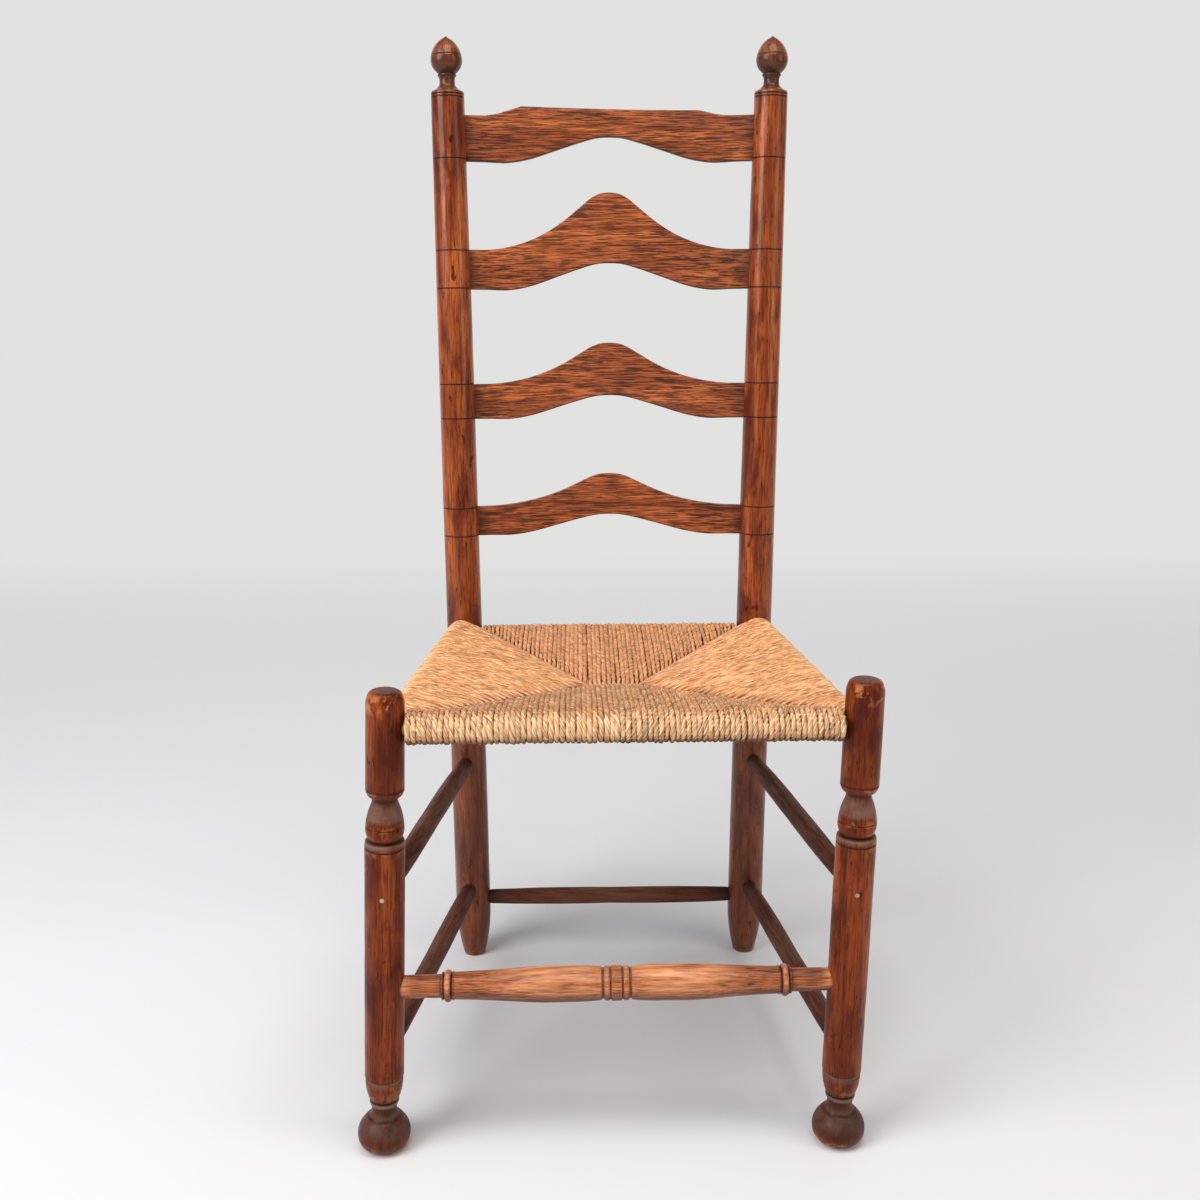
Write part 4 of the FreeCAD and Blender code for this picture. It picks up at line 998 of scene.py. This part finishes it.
def mark_strands(mesh, marks):
    """Stores, for every point, its place round and along the strand, the strand's tint, and its rubbing
    and painted highlight, or below 0 its painted shade.

    The closed ends of all strands come first in the mesh; they lie hidden in the seams.
    """
    first = len(mesh.vertices) - len(marks) * SECTION_SIDES
    if first < 0 or first % (2 * SECTION_SIDES):
        raise RuntimeError("a strand has lost points: %s" % mesh.name)
    for key, kind in (("fibre", "FLOAT_VECTOR"), ("tint", "FLOAT"), ("rub_and_painted_light", "FLOAT")):
        mesh.attributes.new(key, kind, "POINT")
    fibre, tints, rub_and_painted_light_values = (mesh.attributes[key].data for key in ("fibre", "tint", "rub_and_painted_light"))
    for i, (along, tint, rub_and_painted_light) in enumerate(marks):
        for k in range(SECTION_SIDES):
            angle = math.tau * k / SECTION_SIDES
            place = first + i * SECTION_SIDES + k
            fibre[place].vector = (math.cos(angle), math.sin(angle), along)
            tints[place].value = tint
            rub_and_painted_light_values[place].value = rub_and_painted_light


def spaced(low, high, pitch, rng):
    """Places about one pitch apart from low to high, each a little off."""
    count = int((high - low) / pitch)
    step = (high - low) / count
    return [low + step * (i + 0.5) + rng.uniform(-0.3, 0.3) for i in range(count)]


def cross(first, second, value, axis):
    """The point where the line from first to second has the given coordinate."""
    return first + (second - first) * ((value - first[axis]) / (second[axis] - first[axis]))


def underside(rail_low, share):
    """Height of the seat's underside, at a share of the way from its rail to the middle."""
    return rail_low + (SEAM_Z - SEAM_THICK - rail_low) * share


def end_panel_paths(front, rng, corners):
    """Strands of the front or the back panel: they lie across the end rails."""
    skin = WEAVE_THICK - strand_radius()
    key, sign = ("corner_", 1) if front else ("back_", -1)
    left, right = corners[key + "left"], corners[key + "right"]
    seam_left, seam_right = corners["seam_left"], corners["seam_right"]
    if front:
        rail_left, rail_right = leg_axis(-1, FRONT_RAIL_Z), leg_axis(1, FRONT_RAIL_Z)
        wide, high, margin = FRONT_RAIL_DEEP + skin, FRONT_RAIL_HIGH + skin, 20.0
    else:
        rail_left, rail_right = post_axis(-1, BACK_RAIL_Z), post_axis(1, BACK_RAIL_Z)
        wide, high, margin = RAIL_RADIUS + skin, RAIL_RADIUS + skin, 23.0
    rail_low = rail_left.z - high - strand_radius()
    pitch = size_settings().strand_pitch / MM
    paths = []
    for x in spaced(rail_left.x + margin, rail_right.x - margin, pitch, rng):
        if x < seam_left.x:
            seam = cross(left, seam_left, min(max(x, left.x + 3), seam_left.x), 0)
        elif x > seam_right.x:
            seam = cross(right, seam_right, max(min(x, right.x - 3), seam_right.x), 0)
        else:
            seam = cross(seam_left, seam_right, x, 0)
        seam.x = x
        rail = cross(rail_left, rail_right, x, 0)
        share = min(1.0, abs(seam.y - rail.y) / abs(SEAM_Y - rail.y))
        if (seam.y - rail.y) * sign < wide + SEAM_PAST_RAIL:
            seam.y = rail.y + sign * (wide + SEAM_PAST_RAIL)
        paths.append(strand_path(seam, rail, Vector((0, sign, 0)), high, wide,
                                 underside(rail_low, share), 2.5 * share, rng))
    return paths


def side_panel_paths(side, rng, corners):
    """Strands of a side panel: they lie across the side rail."""
    word = "left" if side < 0 else "right"
    front, back = corners["corner_" + word], corners["back_" + word]
    seam_mid = corners["seam_" + word]
    rail_front, rail_back = leg_axis(side, SIDE_RAIL_FRONT_Z), post_axis(side, SIDE_RAIL_REAR_Z)
    wide = high = RAIL_RADIUS + SIDE_WEAVE_THICK - strand_radius()
    low, top = rail_front.y + 21.0, rail_back.y - 24.0
    rail_low = SIDE_RAIL_FRONT_Z - high - strand_radius()
    inward = -side
    paths = []
    for y in spaced(low, top, size_settings().strand_pitch / MM, rng):
        if y < seam_mid.y:
            seam = cross(front, seam_mid, max(y, front.y + 2), 1)
        else:
            seam = cross(seam_mid, back, min(y, back.y - 2), 1)
        seam.y = y
        rail = cross(rail_front, rail_back, y, 1)
        share = min(1.0, abs(seam.x - rail.x) / abs(seam_mid.x - rail.x))
        if (seam.x - rail.x) * inward < wide + SEAM_PAST_RAIL:
            seam.x = rail.x + inward * (wide + SEAM_PAST_RAIL)
        # the first turns lie up against the front roll, so they are drawn in below
        tucked = 4.5 * max(0.0, 1 - (y - low) / 45.0)
        rail.z += tucked
        swing = inward * DRAWN_ASIDE if y < seam_mid.y else 0.0
        paths.append(strand_path(seam, rail, Vector((inward, 0, 0)), high - tucked, wide,
                                 underside(rail_low, share) + 2 * tucked, 3.0 * share, rng, swing))
    return paths


def either_way(place):
    """The twist turns the other way on each side of the centre seam."""
    return -1.0 if place.x < SEAM_X else 1.0


def left_twist(_place):
    """The side panels' strands take longer for a turn of their twist than the others."""
    return SIDE_TWIST


def right_twist(_place):
    return -SIDE_TWIST


class CHAIR_OT_rush_seat(bpy.types.Operator):
    """Winds the rush strands of the four panels round the seat rails"""
    bl_idname = "chair.rush_seat"
    bl_label = "Rush Seat"

    def execute(self, context):
        rng = random.Random(11)
        corners = seat_corners()
        section = strand_section()
        for place, paths_of, end, look, twist_of, taper in (
                ("front", end_panel_paths, True, "rush_front", either_way, 0.0),
                ("back", end_panel_paths, False, "rush_back", either_way, 0.20),
                ("left", side_panel_paths, -1, "rush_side", left_twist, 0.38),
                ("right", side_panel_paths, 1, "rush_side", right_twist, 0.38)):
            paths = paths_of(end, rng, corners)
            wind("rush_panel_" + place, paths, section, rng, look, twist_of, taper)
        bpy.data.objects.remove(section)
        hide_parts("rush_seat")
        return {"FINISHED"}


# Pieces kept from the construction

class CHAIR_OT_hidden_pieces(bpy.types.Operator):
    """Gives the rails and the stuffing inside the seat their finishes"""
    bl_idname = "chair.hidden_pieces"
    bl_label = "Rails and Stuffing"

    def execute(self, context):
        for place in ("front", "back", "left", "right"):
            paint("seat_rail_" + place, "bare_wood")
            paint("seat_stuffing_" + place, "stuffing")
        paint("tenon_nails", "nail_steel")
        return {"FINISHED"}


def paint(node, look):
    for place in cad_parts[node].material_slots:
        place.material = material(look)


# Floor, light and camera

CAMERA_AT = Vector((-27.42, -1337.42, 837.48))
CAMERA_YAW = 0.9147
CAMERA_PITCH = 13.9333
CAMERA_ROLL = -0.2120
CAMERA_LENS = 39.0

# Backdrop, in metres
BEND_STEPS = 12
BEND_STEP = 0.26
WALL_HEIGHT = 5.0


def camera_turn():
    """The camera's rotation: yaw right of +Y, pitch below the horizon, and roll."""
    yaw, pitch, roll = (math.radians(v) for v in (CAMERA_YAW, CAMERA_PITCH, CAMERA_ROLL))
    upright = Matrix.Rotation(-yaw, 4, "Z") @ Matrix.Rotation(math.pi / 2 - pitch, 4, "X")
    return upright @ Matrix.Rotation(roll, 4, "Z")


def plain_surface(name, colour, far_colour):
    """Matte floor round the chair; far behind it the surface shows its own even colour."""
    n = Nodes(name)
    place = n.place()
    base = n.mix(n.ramp(n.noise(place, 3.0, 2, 0.5), 0.3, 0.7), scaled(colour, 0.985), colour)
    for key, value in (("Base Color", base), ("Roughness", 0.9), ("Specular IOR Level", 0.1)):
        n.feed(value, n.shader.inputs[key])
    back = n.add("ShaderNodeSeparateXYZ", {"Vector": place}).outputs["Y"]
    path = n.add("ShaderNodeLightPath").outputs
    seen = n.math("MAXIMUM", path["Is Camera Ray"], path["Is Glossy Ray"])
    seen = n.math("MAXIMUM", seen, path["Is Transmission Ray"])
    share = n.math("MULTIPLY", seen, n.ramp(back, 0.2, 2.6))
    glow = n.add("ShaderNodeEmission", {"Color": far_colour + (1.0,)}).outputs["Emission"]
    blend = n.add("ShaderNodeMixShader", {"Fac": share, 1: n.shader.outputs["BSDF"], 2: glow})
    n.feed(blend.outputs["Shader"], n.tree.nodes["Material Output"].inputs["Surface"])
    return n.material


def studio_sweep():
    """The floor, with a backdrop that rises from it in one bend far behind the chair."""
    deselect()
    bpy.ops.mesh.primitive_plane_add(size=1.0, location=(0, 0, 0))
    ground = bpy.context.object
    ground.name = "studio_floor"
    edit_all()
    bpy.ops.transform.resize(value=(16.0, 9.0, 1.0))
    bpy.ops.transform.translate(value=(0, -1.0, 0))
    edit_done()
    mesh = ground.data
    mesh.polygons[0].select = False
    for vertex in mesh.vertices:
        vertex.select = vertex.co.y > 3.0
    for edge in mesh.edges:
        edge.select = all(mesh.vertices[i].select for i in edge.vertices)
    bpy.ops.object.mode_set(mode="EDIT")
    bpy.ops.mesh.select_mode(type="EDGE")
    steps = []
    for k in range(BEND_STEPS):
        angle = math.radians(90.0 * (k + 0.5) / BEND_STEPS)
        steps.append((0, BEND_STEP * math.cos(angle), BEND_STEP * math.sin(angle)))
    for step in steps + [(0, 0, WALL_HEIGHT)]:
        bpy.ops.mesh.extrude_edges_move(TRANSFORM_OT_translate={"value": step})
    bpy.ops.mesh.select_mode(type="VERT")
    edit_done()
    bpy.ops.object.shade_smooth()
    return ground


def soft_lamp(name, place, target, size_m, power, colour):
    data = bpy.data.lights.new(name, "AREA")
    data.shape = "RECTANGLE"
    data.size, data.size_y = size_m
    data.energy = power
    data.color = colour
    lamp = linked(name, data)
    lamp.location = place
    lamp.rotation_euler = (Vector(target) - Vector(place)).to_track_quat("-Z", "Y").to_euler()


def studio_air():
    """Even light from all round, dimmer where it is mirrored."""
    world = bpy.data.worlds.new("studio_air")
    world.use_nodes = True
    tree = world.node_tree
    path = tree.nodes.new("ShaderNodeLightPath")
    pick = tree.nodes.new("ShaderNodeMixShader")
    tree.links.new(path.outputs["Is Glossy Ray"], pick.inputs["Fac"])
    for place, air, colour, strength in (
            (1, tree.nodes["Background"], (0.93, 0.95, 1.0, 1), 0.42),
            (2, tree.nodes.new("ShaderNodeBackground"), (0.86, 0.88, 1.0, 1), 0.16)):
        air.inputs["Color"].default_value = colour
        air.inputs["Strength"].default_value = strength
        tree.links.new(air.outputs["Background"], pick.inputs[place])
    tree.links.new(pick.outputs["Shader"], tree.nodes["World Output"].inputs["Surface"])
    return world


class CHAIR_OT_stage(bpy.types.Operator):
    """Sets the plain floor, the soft studio light and the camera"""
    bl_idname = "chair.stage"
    bl_label = "Stage"

    def execute(self, context):
        ground = studio_sweep()
        floor = plain_surface("pale_floor", (0.84, 0.84, 0.835), (0.76, 0.76, 0.755))
        ground.data.materials.append(floor)
        context.scene.world = studio_air()
        soft_lamp("key_light", (-1.9, -1.3, 2.1), (0.0, 0.0, 0.6), (1.5, 2.4), 61, (0.97, 0.97, 1.0))
        soft_lamp("top_light", (0.2, -0.7, 2.9), (0.0, 0.0, 0.4), (1.6, 1.2), 27, (1.0, 0.98, 0.95))
        soft_lamp("fill_light", (2.3, -1.2, 1.4), (0.0, 0.0, 0.5), (1.0, 1.8), 13, (1.0, 0.90, 0.80))
        lens = bpy.data.cameras.new("view")
        lens.sensor_width = 36.0
        lens.lens = CAMERA_LENS
        view = linked("view", lens)
        view.matrix_world = Matrix.Translation(CAMERA_AT * MM) @ camera_turn()
        context.scene.camera = view
        context.scene.view_settings.view_transform = "Standard"
        return {"FINISHED"}


class CHAIR_PT_panel(bpy.types.Panel):
    """Lists the chair's sizes, colours and building steps"""
    bl_idname = "CHAIR_PT_panel"
    bl_label = "Ladderback Chair"
    bl_space_type = "VIEW_3D"
    bl_region_type = "UI"
    bl_category = "Chair"

    def draw(self, context):
        layout = self.layout
        for group in (context.scene.chair_sizes, context.scene.chair_finish):
            for key in group.bl_rna.properties.keys():
                if key not in ("rna_type", "name"):
                    layout.prop(group, key)
        for operator in BUILD_STEPS:
            layout.operator(operator.bl_idname)


BUILD_STEPS = (
    CHAIR_OT_stage,
    CHAIR_OT_front_legs,
    CHAIR_OT_rear_posts,
    CHAIR_OT_front_stretcher,
    CHAIR_OT_plain_stretchers,
    CHAIR_OT_slats,
    CHAIR_OT_rush_seat,
    CHAIR_OT_hidden_pieces,
)
CLASSES = (ChairFinish, ChairSizes) + BUILD_STEPS + (CHAIR_PT_panel,)


def register():
    for kind in CLASSES:
        bpy.utils.register_class(kind)
    bpy.types.Scene.chair_finish = bpy.props.PointerProperty(type=ChairFinish)
    bpy.types.Scene.chair_sizes = bpy.props.PointerProperty(type=ChairSizes)


def unregister():
    del bpy.types.Scene.chair_sizes
    del bpy.types.Scene.chair_finish
    for kind in reversed(CLASSES):
        bpy.utils.unregister_class(kind)


def main():
    register()
    for step in BUILD_STEPS:
        family, name = step.bl_idname.split(".")
        getattr(getattr(bpy.ops, family), name)()


if __name__ == "__main__":
    main()
